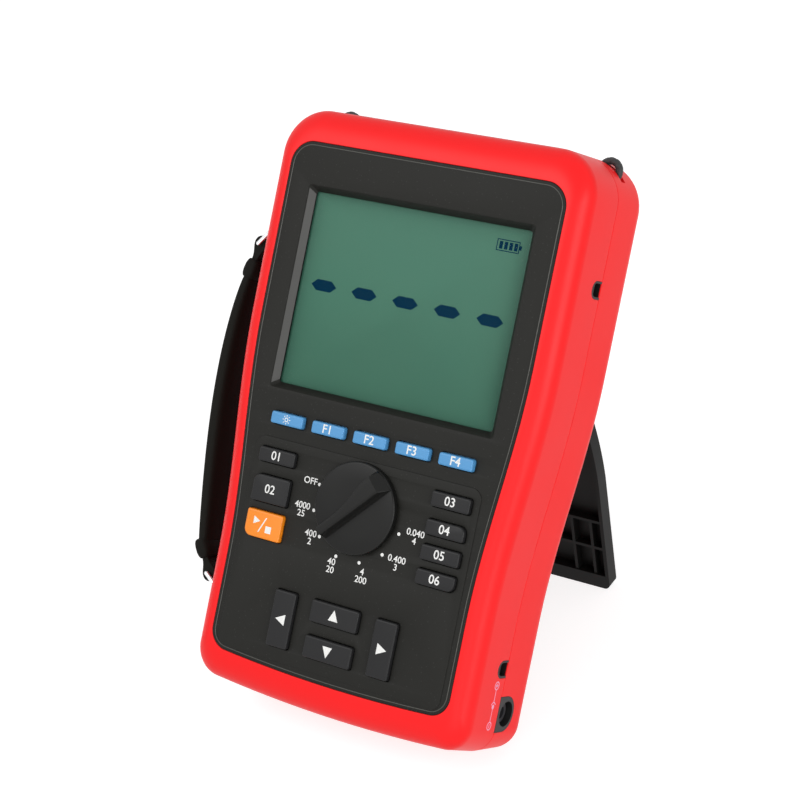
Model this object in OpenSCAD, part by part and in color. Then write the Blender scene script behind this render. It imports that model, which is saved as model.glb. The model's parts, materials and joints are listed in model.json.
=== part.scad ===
// Handheld bench meter with a large display, a range dial, sixteen keys, a hand strap and a kickstand.
// The case is drawn upright in its own frame: X to the right, Y up the face, Z out of the face,
// with the dial centre at zero, and is then leaned back on its bottom edge and its kickstand.

/* [Case] */
// Width of the case across the display end
case_w = 155; // [148:1:165]
// Narrowing of each side towards the keypad end
waist_step = 7; // [3:0.5:9]
// Height of the case above the dial centre
case_up = 165; // [163:1:175]
// Height of the case below the dial centre
case_down = 94; // [90:1:100]
// Depth of the case from face to back
case_d = 57; // [55:1:62]
// Depth of the joint line behind the face
seam_d = 28.3; // [27:0.1:30]
// Wall thickness of the two shells
wall = 2.6; // [2:0.1:3]
// Corner radius of the case at the display end
top_corner = 20; // [17:1:22]
// Corner radius of the case at the keypad end
bottom_corner = 12; // [10:1:14]
// Rise of the bowed bottom edge at the sides
bow_rise = 3.5; // [1:0.5:5]
// Height where the sides start to narrow
waist_top = 75; // [65:1:85]
// Height where the sides stop narrowing
waist_bottom = -35; // [-45:1:-25]
// Depth of the rounded front rim
front_round = 9; // [7:0.5:10]
// Radius of the rounded back edge
back_round = 10; // [7:0.5:11]
// Backward lean of the standing meter
lean = 31.7; // [25:0.1:35]

/* [Face] */
// Width of the red rim at the sides
rim_side = 9; // [8:0.5:10]
// Width of the red rim at the top
rim_top = 14.8; // [12:0.2:16]
// Width of the red rim at the bottom
rim_bottom = 16.3; // [14:0.1:18]
// Slope of the lower end from the joint line to the face
bottom_draft = 2; // [0:0.1:3]
// Corner radius of the face plate at the display end
face_top_corner = 10.5; // [8:0.5:14]
// Corner radius of the face plate at the keypad end
face_bottom_corner = 9; // [7:0.5:11]
// Thickness of the face plate
face_t = 2; // [1.6:0.1:2.4]
// Height of the raised keypad field
field_t = 0.4; // [0.2:0.1:0.6]
// Top edge of the raised keypad field
field_top = 20.7; // [20.3:0.1:22]
// Margin of the raised keypad field
field_margin = 4; // [3:0.5:5]

/* [Display] */
// Width of the display opening at the face
display_w = 113.4; // [104:0.2:114]
// Bottom edge of the display opening
display_low = 42.2; // [42:0.1:48]
// Top edge of the display opening
display_high = 131.6; // [122:0.2:132]
// Depth of the sloping display surround
surround_d = 3.2; // [3:0.1:3.6]
// Inward slope of the display surround
surround_in = 2.4; // [1:0.1:3]
// Thickness of the clear window
window_t = 1.2; // [1:0.1:1.5]
// Thickness of the display glass
glass_t = 2.6; // [2:0.1:3]
// Thickness of the backlight
backlight_t = 4; // [3:0.1:4.5]

/* [Keys] */
// Width of a blue key
blue_w = 16.6; // [14:0.2:18]
// Height of a blue key
blue_h = 5.3; // [4.5:0.1:6]
// Spacing of the blue keys
blue_pitch = 21.5; // [20:0.1:22]
// Height of the blue key row above the dial centre
blue_y = 29.5; // [29:0.1:31]
// Width of the keys beside the dial
side_key_w = 18.8; // [17:0.2:19.4]
// Distance of the side key columns from the middle
side_key_x = 44.4; // [44:0.1:45]
// Width of the short face of the arrow keys left and right
arrow_side_w = 10.9; // [9:0.1:11.5]
// Length of the arrow keys left and right
arrow_side_h = 24.8; // [23:0.1:26]
// Width of the arrow keys up and down
arrow_mid_w = 24.2; // [22:0.2:26]
// Height of the arrow keys up and down
arrow_mid_h = 9.6; // [8.5:0.1:10]
// Distance of the left and right arrow keys from the middle
arrow_x = 26; // [25:0.1:27]
// Centre of the arrow keys below the dial centre
arrow_y = -55; // [-56:0.1:-54]
// Distance of the up and down arrow keys from their centre
arrow_dy = 7.8; // [7.4:0.1:8.2]
// Height of a key above the face
key_rise = 2; // [1.5:0.1:2.5]
// Travel of a key
key_travel = 0.8; // [0.5:0.1:1]
// Gap round a key in the face plate
key_gap = 0.3; // [0.2:0.05:0.4]

/* [Dial] */
// Radius of the knob disc
knob_r = 20; // [18:0.2:20]
// Height of the knob disc
knob_disc_h = 3; // [2.5:0.1:4]
// Height of the grip bar above the disc
grip_h = 4.2; // [3:0.1:6]
// Width of the top of the grip bar
grip_top_w = 3.4; // [3:0.1:5]
// Width of the foot of the grip bar
grip_foot_w = 7.8; // [7:0.1:9]
// Angle between two neighbouring dial positions
dial_step = 30; // [20:1:30]
// Angle of the position at which the knob rests
dial_rest = 225; // [200:1:250]

/* [Kickstand] */
// Half width of the kickstand at its foot
stand_half_w = 50; // [46:1:51]
// Distance of the kickstand's pin above the dial centre
stand_pin_y = 127; // [120:1:128]
// Depth of the kickstand's pin below the back
stand_pin_d = 5; // [4.8:0.1:5.4]
// Radius of the kickstand's pin
stand_pin_r = 2; // [1.5:0.1:2.2]
// Radius of the kickstand's barrel
stand_barrel_r = 4.2; // [4:0.1:4.4]
// Angle by which the kickstand swings out of the back
stand_open = 35.5; // [34:0.5:38]
// Depth of the kickstand's side walls
stand_d = 7; // [6:0.2:7.4]
// Thickness of the kickstand's outer plate
stand_t = 2.2; // [1.8:0.1:2.6]
// Length of the solid foot of the kickstand
stand_foot = 7.5; // [5:0.5:9]

/* [Strap and ports] */
// Height of the upper strap lugs above the dial centre
lug_high = 110.6; // [108:0.2:114]
// Height of the lower strap lugs above the dial centre
lug_low = -53; // [-54:0.2:-51]
// Height of a strap lug opening
lug_h = 7.6; // [6.5:0.1:8.4]
// Depth of a strap lug opening from the joint line
lug_d = 8; // [7.4:0.1:9]
// Outward bulge of the hand strap from the case
strap_bulge = 18.5; // [17:0.5:22]
// Thickness of the hand strap pad at its middle
strap_t = 7.5; // [6:0.5:8]
// Width of the hand strap pad
strap_w = 26; // [21:1:29]
// Radius of the power jack's opening
jack_r = 5.5; // [4.5:0.1:5.8]
// Height of the power jack below the dial centre
jack_y = -73; // [-74:0.2:-72]
// Radius of the test sockets' bore
socket_r = 2; // [1.9:0.05:2.2]
// Radius of the neck cord
cord_r = 1.65; // [1.3:0.05:1.8]

/* [Hidden] */
$fn = 48;

// One overrun serves all cuts, and one gap each fit
over = 1;
part_gap = 0.15;
pin_gap = 0.05;

// Steps along the bow, the corners, the waist and the rounded edges
bow_steps = 5;
corner_steps = 8;
waist_steps = 9;
round_steps = 6;
key_fn = 16;

// Smallest radius left on an inset corner
min_r = 0.5;
half_w = case_w / 2;
low_half_w = half_w - waist_step;
bow_k = bow_rise / (low_half_w * low_half_w);

// Inner faces of the shells, measured from the case surface
skin_draft = 0.6;
inner_in = wall + skin_draft;
shelf_d = 4.6;
ledge = 2;
rim_land = 0.4;
rim_w = rim_bottom - bottom_draft - rim_land;
floor_z = -case_d + wall;

// Share of the waist's narrowing at a share of its run
function ease_share(t) = (1 - cos(180 * min(1, max(0, t)))) / 2;
// Half width of the case at height y
function side_at(y) = half_w - waist_step * ease_share((waist_top - y) / (waist_top - waist_bottom));

// Right half of an outline of the case, inset by ds at the sides, dt at the top and db at the bottom
function right_half(ds, dt, db, rt, rb) =
    let (cx = low_half_w - ds - rb, a = atan(2 * bow_k * cx), tx = cx + rb * sin(a),
        ty = -case_down + db + bow_k * tx * tx, cy = ty + rb * cos(a), kx = half_w - ds - rt,
        ky = case_up - dt - rt)
    concat(
        [for (i = [0 : bow_steps - 1])
            let (x = tx * i / bow_steps) [x, -case_down + db + bow_k * x * x]],
        [for (i = [0 : corner_steps])
            let (q = (90 - a) * (1 - i / corner_steps)) [cx + rb * cos(q), cy - rb * sin(q)]],
        [for (i = [0 : waist_steps])
            let (y = waist_bottom + (waist_top - waist_bottom) * i / waist_steps) [side_at(y) - ds, y]],
        [for (i = [0 : corner_steps])
            let (q = 90 * i / corner_steps) [kx + rt * cos(q), ky + rt * sin(q)]]);

// Closed outline, running from the middle of the bottom up the right and down the left
function outline(ds, dt, db, rt, rb) =
    let (r = right_half(ds, dt, db, rt, rb))
    concat(r, [for (i = [len(r) - 1 : -1 : 1]) [-r[i][0], r[i][1]]]);

// Case outline inset evenly by d
function case_outline(d) = outline(d, d, d, max(top_corner - d, min_r), max(bottom_corner - d, min_r));
// Inside of the front shell, inset evenly by d
function inner_outline(d) = outline(inner_in + d, inner_in + d, inner_in + bottom_draft + d,
    max(top_corner - inner_in - d, min_r), max(bottom_corner - inner_in - d, min_r));
// Face plate outline inset evenly by d from the plate's own edge
function face_outline(d) = outline(rim_side + d, rim_top + d, rim_bottom + d,
    max(face_top_corner - d, min_r), max(face_bottom_corner - d, min_r));

// Rings of the rounded front rim and of the rounded back edge, each with its height
function rim_ring(q) = let (c = 1 - cos(q))
    [outline((rim_side - rim_land) * c, (rim_top - rim_land) * c, bottom_draft + rim_w * c,
        top_corner + (face_top_corner - top_corner) * c,
        bottom_corner + (face_bottom_corner - bottom_corner) * c), -front_round * (1 - sin(q))];
function back_ring(q) = [case_outline(back_round * (1 - cos(q))), -case_d + back_round * (1 - sin(q))];

// Skin over a stack of rings, each [outline, height], from the lowest to the highest
module loft(rings) {
    n = len(rings[0][0]);
    m = len(rings);
    polyhedron(
        points = [for (r = rings) for (p = r[0]) [p[0], p[1], r[1]]],
        faces = concat(
            [[for (i = [0 : n - 1]) i]],
            [for (k = [0 : m - 2]) for (i = [0 : n - 1])
                let (j = (i + 1) % n) [k * n + i, k * n + n + i, k * n + n + j]],
            [for (k = [0 : m - 2]) for (i = [0 : n - 1])
                let (j = (i + 1) % n) [k * n + i, k * n + n + j, k * n + j]],
            [[for (i = [n - 1 : -1 : 0]) (m - 1) * n + i]]));
}

module prism(points, low, high) {
    translate([0, 0, low]) linear_extrude(high - low) polygon(points);
}
// Box between two corners
module block(x0, x1, y0, y1, z0, z1) {
    translate([x0, y0, z0]) cube([x1 - x0, y1 - y0, z1 - z0]);
}
// Round bars along X, Y and Z
module rod_x(x0, x1, y, z, r) {
    translate([x0, y, z]) rotate([0, 90, 0]) cylinder(r = r, h = x1 - x0);
}
module rod_y(x, y0, y1, z, r) {
    translate([x, y1, z]) rotate([90, 0, 0]) cylinder(r = r, h = y1 - y0);
}
module rod_z(x, y, z0, z1, r) {
    translate([x, y, z0]) cylinder(r = r, h = z1 - z0);
}
// Round bar between two points
module bar(a, b, r) {
    d = b - a;
    translate(a) rotate([0, acos(d[2] / norm(d)), atan2(d[1], d[0])]) cylinder(r = r, h = norm(d));
}
module both_sides() {
    children();
    mirror([1, 0, 0]) children();
}
// Quarter disc filling a corner at x, y
module corner(x, y, r) {
    translate([x - sign(x) * r, y - sign(y) * r]) intersection() {
        circle(r = r);
        translate([min(0, sign(x) * r), min(0, sign(y) * r)]) square(r);
    }
}
// Flat rectangle with its own radius at each corner, from top left clockwise
module tile(w, h, tl, tr, br, bl) {
    x = w / 2;
    y = h / 2;
    polygon([[-x, y - tl], [tl - x, y - tl], [tl - x, y], [x - tr, y], [x - tr, y - tr], [x, y - tr],
        [x, br - y], [x - br, br - y], [x - br, -y], [bl - x, -y], [bl - x, bl - y], [-x, bl - y]]);
    corner(-x, y, tl);
    corner(x, y, tr);
    corner(x, -y, br);
    corner(-x, -y, bl);
}
// Opening with a round end, cut through a side wall from the joint line towards dz
module side_arch(x0, x1, y, h, d, way) {
    block(x0, x1, y - h / 2, y + h / 2, -seam_d - (way < 0 ? d - h / 2 : 0), -seam_d + (way > 0 ? d - h / 2 : 0));
    rod_x(x0, x1, y, -seam_d + way * (d - h / 2), h / 2);
}

// Stance: the lowest point of the case, the kickstand's length and the middle of the whole object
stand_pin_z = -case_d + stand_pin_d;
low_h = min([for (i = [0 : round_steps]) let (q = 90 * i / round_steps)
    (back_round * (1 - cos(q)) - case_down) * cos(lean) + (back_round * (1 - sin(q)) - case_d) * sin(lean)]);
stand_tilt = stand_open - lean;
rim_off = stand_d - stand_pin_d;
stand_len = (stand_pin_y * cos(lean) + stand_pin_z * sin(lean) - low_h - rim_off * sin(stand_tilt))
    / cos(stand_tilt);
front_y = min([for (i = [0 : round_steps]) let (q = 90 * i / round_steps)
    (bottom_draft + rim_w * (1 - cos(q)) - case_down) * sin(lean) + front_round * (1 - sin(q)) * cos(lean)]);
foot_y = stand_pin_y * sin(lean) - stand_pin_z * cos(lean) + stand_len * sin(stand_tilt)
    + stand_pin_d * cos(stand_tilt);
module stand_up() {
    translate([(strap_out - half_w) / 2, -(front_y + foot_y) / 2, -low_h]) rotate([90 - lean, 0, 0]) children();
}

// Bosses where screws join the shells, and where the board is screwed down
boss_r = 3.4;
post_r = 4.4;
boss_z = -33;
boss_in = 6.5;
boss_turn = 18;
boss_mid_y = 62;
boss_low_in = 4.5;
boss_low_up = 7.9;
boss_spots = [
    [half_w - top_corner + (top_corner - boss_in - wall / 2) * cos(boss_turn),
        case_up - top_corner + (top_corner - boss_in - wall / 2) * sin(boss_turn)],
    [half_w - boss_in - wall / 4, boss_mid_y],
    [low_half_w - bottom_corner - boss_low_in, -case_down + bow_rise + boss_low_up]];
screw_r = 1.1;
pilot_r = screw_r + pin_gap;
screw_head_r = 2.8;
screw_head_h = 2.4;
screw_seat_z = -43;
screw_tip_z = -22;
screw_free = 0.4;
head_free = 0.3;

// Main board
board_t = 1.6;
board_z = -14.4;
board_in = 1;
board_top_y = 137;
board_post_r = 2.6;
board_post_in = 6.6;
board_post_y = [120, 8, -66];
board_screw_l = 5;

module at_bosses() {
    both_sides() for (p = boss_spots) translate(p) children();
}
module at_board_posts() {
    both_sides() for (y = board_post_y) translate([side_at(y) - board_post_in, y]) children();
}

// Top end: the window for the terminal block
block_w = 104;
block_front = -15;
block_back = -42;
block_low_y = 139;
block_proud = 0.5;

// Neck cord: a loop round a post at each top corner, in the rear shell
cord_z = -37;
cord_turn = 61;
cord_in = 1.8;
cord_bend_r = 4.3;
cord_free = 0.3;
cord_slot_from = 37;
cord_slot_to = 84;
cord_at = [half_w - top_corner + (top_corner - cord_in) * cos(cord_turn),
    case_up - top_corner + (top_corner - cord_in) * sin(cord_turn)];
module cord_slot() {
    translate([half_w - top_corner, case_up - top_corner, cord_z]) rotate([0, 0, cord_slot_from])
        rotate_extrude(angle = cord_slot_to - cord_slot_from)
            translate([top_corner - inner_in - cord_bend_r, -cord_r - cord_free])
                square([inner_in + cord_bend_r + over, 2 * (cord_r + cord_free)]);
}

// Strap lugs and the power jack, both arches on the joint line
bush_t = 0.9;
bush_deep = 6.5;
bush_bar_r = 0.9;
insert_h = 15.5;
insert_d = 14;
insert_deep = 5;
jack_hole_z = -35.4;
module lug_notches(grow) {
    both_sides() for (y = [lug_high, lug_low])
        side_arch(side_at(y) - bush_deep - over, half_w + over, y, lug_h + 2 * grow, lug_d + grow, 1);
}

module front_shell() color("#e23a34") stand_up() {
    difference() {
        loft(concat([[case_outline(0), -seam_d]],
            [for (i = [0 : round_steps]) rim_ring(90 * i / round_steps)]));
        prism(inner_outline(0), -seam_d - over, -shelf_d);
        prism(face_outline(ledge), -shelf_d - over, over);
        prism(face_outline(-part_gap), -face_t, over);
        lug_notches(part_gap);
        block(-block_w / 2 - part_gap, block_w / 2 + part_gap, block_low_y, case_up + over,
            -seam_d - over, block_front + part_gap);
    }
    difference() {
        union() {
            at_bosses() rod_z(0, 0, boss_z, -shelf_d, boss_r);
            at_board_posts() rod_z(0, 0, board_z, -shelf_d, board_post_r);
        }
        at_bosses() rod_z(0, 0, boss_z - over, screw_tip_z + over, pilot_r);
        at_board_posts() rod_z(0, 0, board_z - over, board_z + board_screw_l, pilot_r);
    }
}

// Kickstand in its own frame: pin at zero, folded against the back, running towards negative Y
stand_bend_from = 57;
stand_bend_to = 100;
stand_taper_share = 0.2236;
stand_corner = 3;
stand_wall = 1.8;
stand_rib_t = 1.5;
stand_rib_at = [22.5, 38];
stand_rib_low = 0.6;
stand_up_x = [12, 32, 42];
stand_free = 0.6;
pocket_z = -case_d + stand_pin_d + stand_barrel_r + part_gap * 2;
pocket_floor_t = 3;
pocket_wall = 2;
pocket_in_z = pocket_z + pocket_floor_t;
pin_grip = 4;
notch_r = 11;
function stand_side(t) = let (run = stand_bend_to - stand_bend_from)
    stand_half_w - (t < stand_bend_from ? 0 : t < stand_bend_to
        ? stand_taper_share * (t - stand_bend_from) * (t - stand_bend_from) / (2 * run)
        : stand_taper_share * (run / 2 + t - stand_bend_to));
stand_top_half = stand_side(stand_len);
function stand_right(grow) = concat(
    [for (i = [0 : corner_steps / 2]) let (q = 90 * (1 - 2 * i / corner_steps), r = stand_corner + grow)
        [stand_half_w - stand_corner + r * cos(q), -stand_len + stand_corner - r * sin(q)]],
    [for (i = [0 : waist_steps]) let (t = stand_bend_from + (stand_bend_to - stand_bend_from) * i / waist_steps)
        [stand_side(t) + grow, t - stand_len]]);
module stand_plan(grow, top) {
    r = stand_right(grow);
    polygon(concat(r, [[stand_top_half + grow, top]], [[-stand_top_half - grow, top]],
        [for (i = [len(r) - 1 : -1 : 0]) [-r[i][0], r[i][1]]]));
}
module at_stand_pin(turn) {
    translate([0, stand_pin_y, stand_pin_z]) rotate([turn, 0, 0]) children();
}

// Battery door, its opening, the tub round the cells and the screws of the door
door_w = 80;
door_h = 62;
door_t = 2;
door_y = -16;
door_gap = 0.2;
door_in_z = pocket_z + door_t;
tub_w = 76;
tub_h = 40;
tub_t = 2;
tub_z = -27;
cell_r = 9.2;
cell_l = 70;
cell_gap = 0.15;
cell_tip_r = 3;
cell_tip_l = 1.5;
door_screw_x = 30;
door_screw_dy = 26.5;
door_screw_r = 1;
door_head_r = 2.2;
door_head_h = 1.2;
door_screw_l = 6;
door_boss_r = 2.6;
door_boss_h = 4.5;
module at_door_screws(z) {
    for (x = [-door_screw_x, door_screw_x]) for (y = [-door_screw_dy, door_screw_dy])
        translate([x, door_y + y, z]) children();
}

cord_post_in = 2.8;
cord_pin_r = 1.5;
cord_pin_half = 3.4;
module cord_post() {
    translate([half_w - top_corner, case_up - top_corner, 0]) rotate([0, 0, cord_turn])
        rod_z(top_corner - cord_post_in, 0, cord_z - cord_pin_half, cord_z + cord_pin_half, cord_pin_r);
}
function inner_ring(q) = let (r = back_round - wall)
    [case_outline(inner_in + r * (1 - cos(q))), floor_z + r * (1 - sin(q))];

module rear_shell() color("#e9463f") stand_up() {
    difference() {
        union() {
            difference() {
                loft(concat([for (i = [round_steps : -1 : 0]) back_ring(90 * i / round_steps)],
                    [[case_outline(0), -seam_d]]));
                loft(concat([for (i = [round_steps : -1 : 0]) inner_ring(90 * i / round_steps)],
                    [[case_outline(inner_in), -seam_d + over]]));
            }
            at_bosses() rod_z(0, 0, floor_z - wall / 2, boss_z, post_r);
            translate([0, stand_pin_y, floor_z - wall / 2]) linear_extrude(pocket_in_z - floor_z + wall / 2)
                stand_plan(stand_free + pocket_wall, stand_barrel_r + stand_free + pocket_wall + pin_gap);
            both_sides() block(stand_top_half, stand_top_half + pin_grip + pocket_wall,
                stand_pin_y - stand_barrel_r, stand_pin_y + stand_barrel_r,
                floor_z - wall / 2, pocket_in_z + wall);
            translate([0, door_y, pocket_in_z - wall / 2]) linear_extrude(tub_z - pocket_in_z + wall / 2)
                square([tub_w + 2 * tub_t, tub_h + 2 * tub_t], center = true);
            at_door_screws(pocket_in_z - wall / 2) cylinder(r = door_boss_r, h = door_boss_h + wall / 2);
        }
        at_bosses() rod_z(0, 0, floor_z - wall - over, boss_z + over, screw_r + screw_free);
        at_bosses() rod_z(0, 0, floor_z - wall - over, screw_seat_z, screw_head_r + head_free);
        translate([0, stand_pin_y, -case_d - over]) linear_extrude(pocket_z + case_d + over)
            stand_plan(stand_free, stand_barrel_r + stand_free + pin_gap);
        rod_x(-stand_top_half - stand_free - pin_grip, stand_top_half + stand_free + pin_grip,
            stand_pin_y, stand_pin_z, stand_pin_r + pin_gap);
        translate([0, stand_pin_y - stand_len - stand_free, -case_d - over])
            cylinder(r = notch_r, h = pocket_z + case_d + over);
        translate([0, door_y, pocket_z - over]) linear_extrude(door_t + over)
            square([door_w + 2 * door_gap, door_h + 2 * door_gap], center = true);
        translate([0, door_y, pocket_z - over]) linear_extrude(tub_z - pocket_z + 2 * over)
            square([tub_w, tub_h], center = true);
        at_door_screws(pocket_z) cylinder(r = door_screw_r + pin_gap, h = door_t + door_screw_l);
        block(-block_w / 2 - part_gap, block_w / 2 + part_gap, block_low_y, case_up + over,
            block_back - part_gap, -seam_d + over);
        both_sides() cord_slot();
        side_arch(low_half_w - insert_deep, half_w + over, jack_y, insert_h + 2 * part_gap,
            insert_d + part_gap, -1);
    }
    both_sides() cord_post();
}

// Face plate with the sloping display surround, the raised field and an opening for each key
face_edge = 0.6;
surround_t = 2;
surround_r = 1.5;
field_r = 5;
field_half = low_half_w - rim_side - field_margin;
field_low = -case_down + rim_bottom + field_margin;
hub_r = 7;
hub_gap = 0.3;
display_mid = (display_low + display_high) / 2;
display_h = display_high - display_low;
function box_ring(w, h, r, z) = [[for (c = [[1, -1, -90], [1, 1, 0], [-1, 1, 90], [-1, -1, 180]])
    for (i = [0 : 3]) let (q = c[2] + 30 * i)
        [c[0] * (w / 2 - r) + r * cos(q), display_mid + c[1] * (h / 2 - r) + r * sin(q)]], z];

// Keys: place, size and corner radii from top left clockwise
left_x = -side_key_x;
key_r = 1;
wide_r = 3.5;
top_key_h = 6.4;
top_key_y = 12.8;
mid_key_h = 11.9;
mid_key_y = -1.95;
start_key_y = -17.6;
low_key_h = 6.6;
right_key_y = [12.6, 0.6, -10.1, -20.5];
corner_r = 3;
module key_plan(name, g) {
    w = side_key_w + 2 * g;
    r = key_r + g;
    if (name == "blue") tile(blue_w + 2 * g, blue_h + 2 * g, r, r, r, r);
    if (name == "left_top") tile(w, top_key_h + 2 * g, r, r, r, r);
    if (name == "left_middle") tile(w, mid_key_h + 2 * g, wide_r + g, r, r, r);
    if (name == "start") tile(w, mid_key_h + 2 * g, r, r, r, wide_r + g);
    if (name == "right") tile(w, low_key_h + 2 * g, r, r, r, r);
    if (name == "right_high") tile(w, low_key_h + 2 * g, r, corner_r + g, r, r);
    if (name == "right_low") tile(w, low_key_h + 2 * g, r, r, corner_r + g, r);
    if (name == "arrow_side") tile(arrow_side_w + 2 * g, arrow_side_h + 2 * g, r, r, r, r);
    if (name == "arrow_mid") tile(arrow_mid_w + 2 * g, arrow_mid_h + 2 * g, r, r, r, r);
}
keys = concat(
    [for (i = [0 : 4]) ["blue", (i - 2) * blue_pitch, blue_y]],
    [["left_top", left_x, top_key_y], ["left_middle", left_x, mid_key_y], ["start", left_x, start_key_y],
    ["right", side_key_x, right_key_y[0]], ["right_high", side_key_x, right_key_y[1]],
    ["right", side_key_x, right_key_y[2]], ["right_low", side_key_x, right_key_y[3]],
    ["arrow_side", -arrow_x, arrow_y], ["arrow_mid", 0, arrow_y + arrow_dy],
    ["arrow_mid", 0, arrow_y - arrow_dy], ["arrow_side", arrow_x, arrow_y]]);
key_lip = 1.2;
key_lip_t = 1.4;
key_bevel = 0.6;
key_taper_share = 0.92;
key_stem_r = 1.5;
dome_gap = 0.1;
dome_h = 0.6;
mat_t = 1.2;
dome_z = board_z + mat_t + dome_h;
key_top = field_t + key_rise;
module key(number) {
    k = keys[number];
    translate([k[1], k[2], 0]) {
        translate([0, 0, -face_t - key_lip_t]) linear_extrude(key_lip_t) key_plan(k[0], key_lip, $fn = key_fn);
        translate([0, 0, -face_t]) linear_extrude(face_t + key_top - key_bevel)
            key_plan(k[0], 0, $fn = key_fn);
        translate([0, 0, key_top - key_bevel]) linear_extrude(key_bevel, scale = key_taper_share)
            key_plan(k[0], 0, $fn = key_fn);
        rod_z(0, 0, dome_z + dome_gap + key_travel, -face_t - key_lip_t + over, key_stem_r);
    }
}

module face_plate() color("#3a3935") stand_up() difference() {
    union() {
        loft([[face_outline(0), -face_t], [face_outline(0), -face_edge], [face_outline(face_edge), 0]]);
        loft([box_ring(display_w + 2 * surround_t, display_h + 2 * surround_t, surround_r, -surround_d),
            box_ring(display_w + 2 * surround_t, display_h + 2 * surround_t, surround_r, -face_t / 2)]);
        translate([0, (field_top + field_low) / 2, -face_t / 2]) linear_extrude(face_t / 2 + field_t)
            tile(2 * field_half, field_top - field_low, field_r, field_r, field_r, field_r);
    }
    loft([box_ring(display_w - 2 * surround_in, display_h - 2 * surround_in, surround_r, -surround_d - over),
        box_ring(display_w - 2 * surround_in, display_h - 2 * surround_in, surround_r, -surround_d),
        box_ring(display_w, display_h, surround_r, 0),
        box_ring(display_w, display_h, surround_r, over)]);
    cylinder(r = hub_r + hub_gap, h = 2 * face_t + 2 * over, center = true);
    for (k = keys) translate([k[1], k[2], -face_t - over]) linear_extrude(face_t + field_t + 2 * over)
        key_plan(k[0], key_gap, $fn = key_fn);
}

// Display stack behind the face
window_in = 0.2;
glass_in = 2.2;
holder_out = 2.8;
holder_back_t = 2;
window_z = -surround_d - window_t;
glass_z = window_z - glass_t;
light_z = glass_z - backlight_t;
module display_layer(grow, z0, z1) {
    translate([0, display_mid, z0]) linear_extrude(z1 - z0)
        square([display_w + 2 * grow, display_h + 2 * grow], center = true);
}
module display_window() color("#cfe0d8") stand_up()
    display_layer(surround_t - window_in, window_z, -surround_d);
module display_glass() color("#5f8f79") stand_up() display_layer(-glass_in, glass_z, window_z);
module backlight() color("#e9ece8") stand_up() display_layer(-glass_in, light_z, glass_z);
module display_holder() color("#2b2b2b") stand_up() difference() {
    display_layer(holder_out, board_z, window_z);
    display_layer(-glass_in + part_gap, light_z, window_z + over);
    display_layer(-glass_in - holder_out, board_z - over, board_z + holder_back_t);
}

module board_plan() {
    difference() {
        intersection() {
            polygon(inner_outline(board_in));
            translate([-case_w, -case_down]) square([2 * case_w, case_down + board_top_y]);
        }
        at_bosses() circle(r = boss_r + board_in);
        at_board_posts() circle(r = pilot_r + head_free);
        circle(r = spindle_r + pin_gap);
    }
}
spindle_r = 3;
board_back = board_z - board_t;
module main_board() color("#2f6b3c") stand_up() translate([0, 0, board_back]) linear_extrude(board_t) board_plan();

mat_half = 57;
mat_top = 35.5;
mat_low = -71;
mat_hole_r = 24.6;
dome_r = 3;
module keypad_mat() color("#9aa3a0") stand_up() {
    difference() {
        block(-mat_half, mat_half, mat_low, mat_top, board_z, board_z + mat_t);
        cylinder(r = mat_hole_r, h = -2 * board_z, center = true);
    }
    for (k = keys) rod_z(k[1], k[2], board_z + mat_t / 2, dome_z, dome_r);
}

// Electronics on the back of the board
relay = [19, 15, 10];
relay_x = [-27, 27];
relay_y = [28, 50];
chip = [14, 14, 1.6];
can_r = 4;
can_h = 9;
can_x = [-40, -30, -20];
can_y = -62;
module on_board(x, y, size) {
    translate([x - size[0] / 2, y - size[1] / 2, board_back - size[2]]) cube(size);
}
module board_parts() color("#33363a") stand_up() {
    for (x = relay_x) for (y = relay_y) on_board(x, y, relay);
    for (y = relay_y) on_board(0, y, chip);
    for (x = can_x) rod_z(x, can_y, board_back - can_h, board_back, can_r);
}
sink = [60, 24, 2];
sink_at = [-24, 84];
fin_t = 1.6;
fin_h = 9;
fin_n = 8;
module heat_sink() color("#aeb2b5") stand_up() {
    on_board(sink_at[0], sink_at[1], sink);
    for (i = [0 : fin_n - 1])
        translate([sink_at[0] - sink[0] / 2 + i * (sink[0] - fin_t) / (fin_n - 1), sink_at[1] - sink[1] / 2,
            board_back - sink[2] - fin_h]) cube([fin_t, sink[1], fin_h + sink[2] / 2]);
}
shunt = [6, 6, 8];
shunt_at = [36, 84];
shunt_half = 14;
shunt_bar_t = 1.2;
module current_shunt() color("#b08a5a") stand_up() {
    for (x = [-shunt_half, shunt_half]) on_board(shunt_at[0] + x, shunt_at[1], shunt);
    for (y = [-shunt[1], 0]) block(shunt_at[0] - shunt_half, shunt_at[0] + shunt_half,
        shunt_at[1] + y + shunt[1] / 4, shunt_at[1] + y + shunt[1] * 3 / 4,
        board_back - shunt[2], board_back - shunt[2] + shunt_bar_t);
}
fuse_r = 2.6;
fuse_half = 10;
fuse_cap = 5;
fuse_at = [38, -62];
module fuse() color("#d8d2c0") stand_up() {
    rod_x(fuse_at[0] - fuse_half, fuse_at[0] + fuse_half, fuse_at[1], board_back - fuse_r - fuse_cap / 5, fuse_r);
    for (x = [-fuse_half, fuse_half - fuse_cap])
        block(fuse_at[0] + x, fuse_at[0] + x + fuse_cap, fuse_at[1] - fuse_r / 2, fuse_at[1] + fuse_r / 2,
            board_back - fuse_r, board_back);
}
buzzer_r = 6;
buzzer_h = 5;
buzzer_at = [8, -62];
buzzer_hole_r = 1;
module buzzer() color("#1f1f20") stand_up() difference() {
    rod_z(buzzer_at[0], buzzer_at[1], board_back - buzzer_h, board_back, buzzer_r);
    rod_z(buzzer_at[0], buzzer_at[1], board_back - buzzer_h - over, board_back - buzzer_h / 2, buzzer_hole_r);
}

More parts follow.
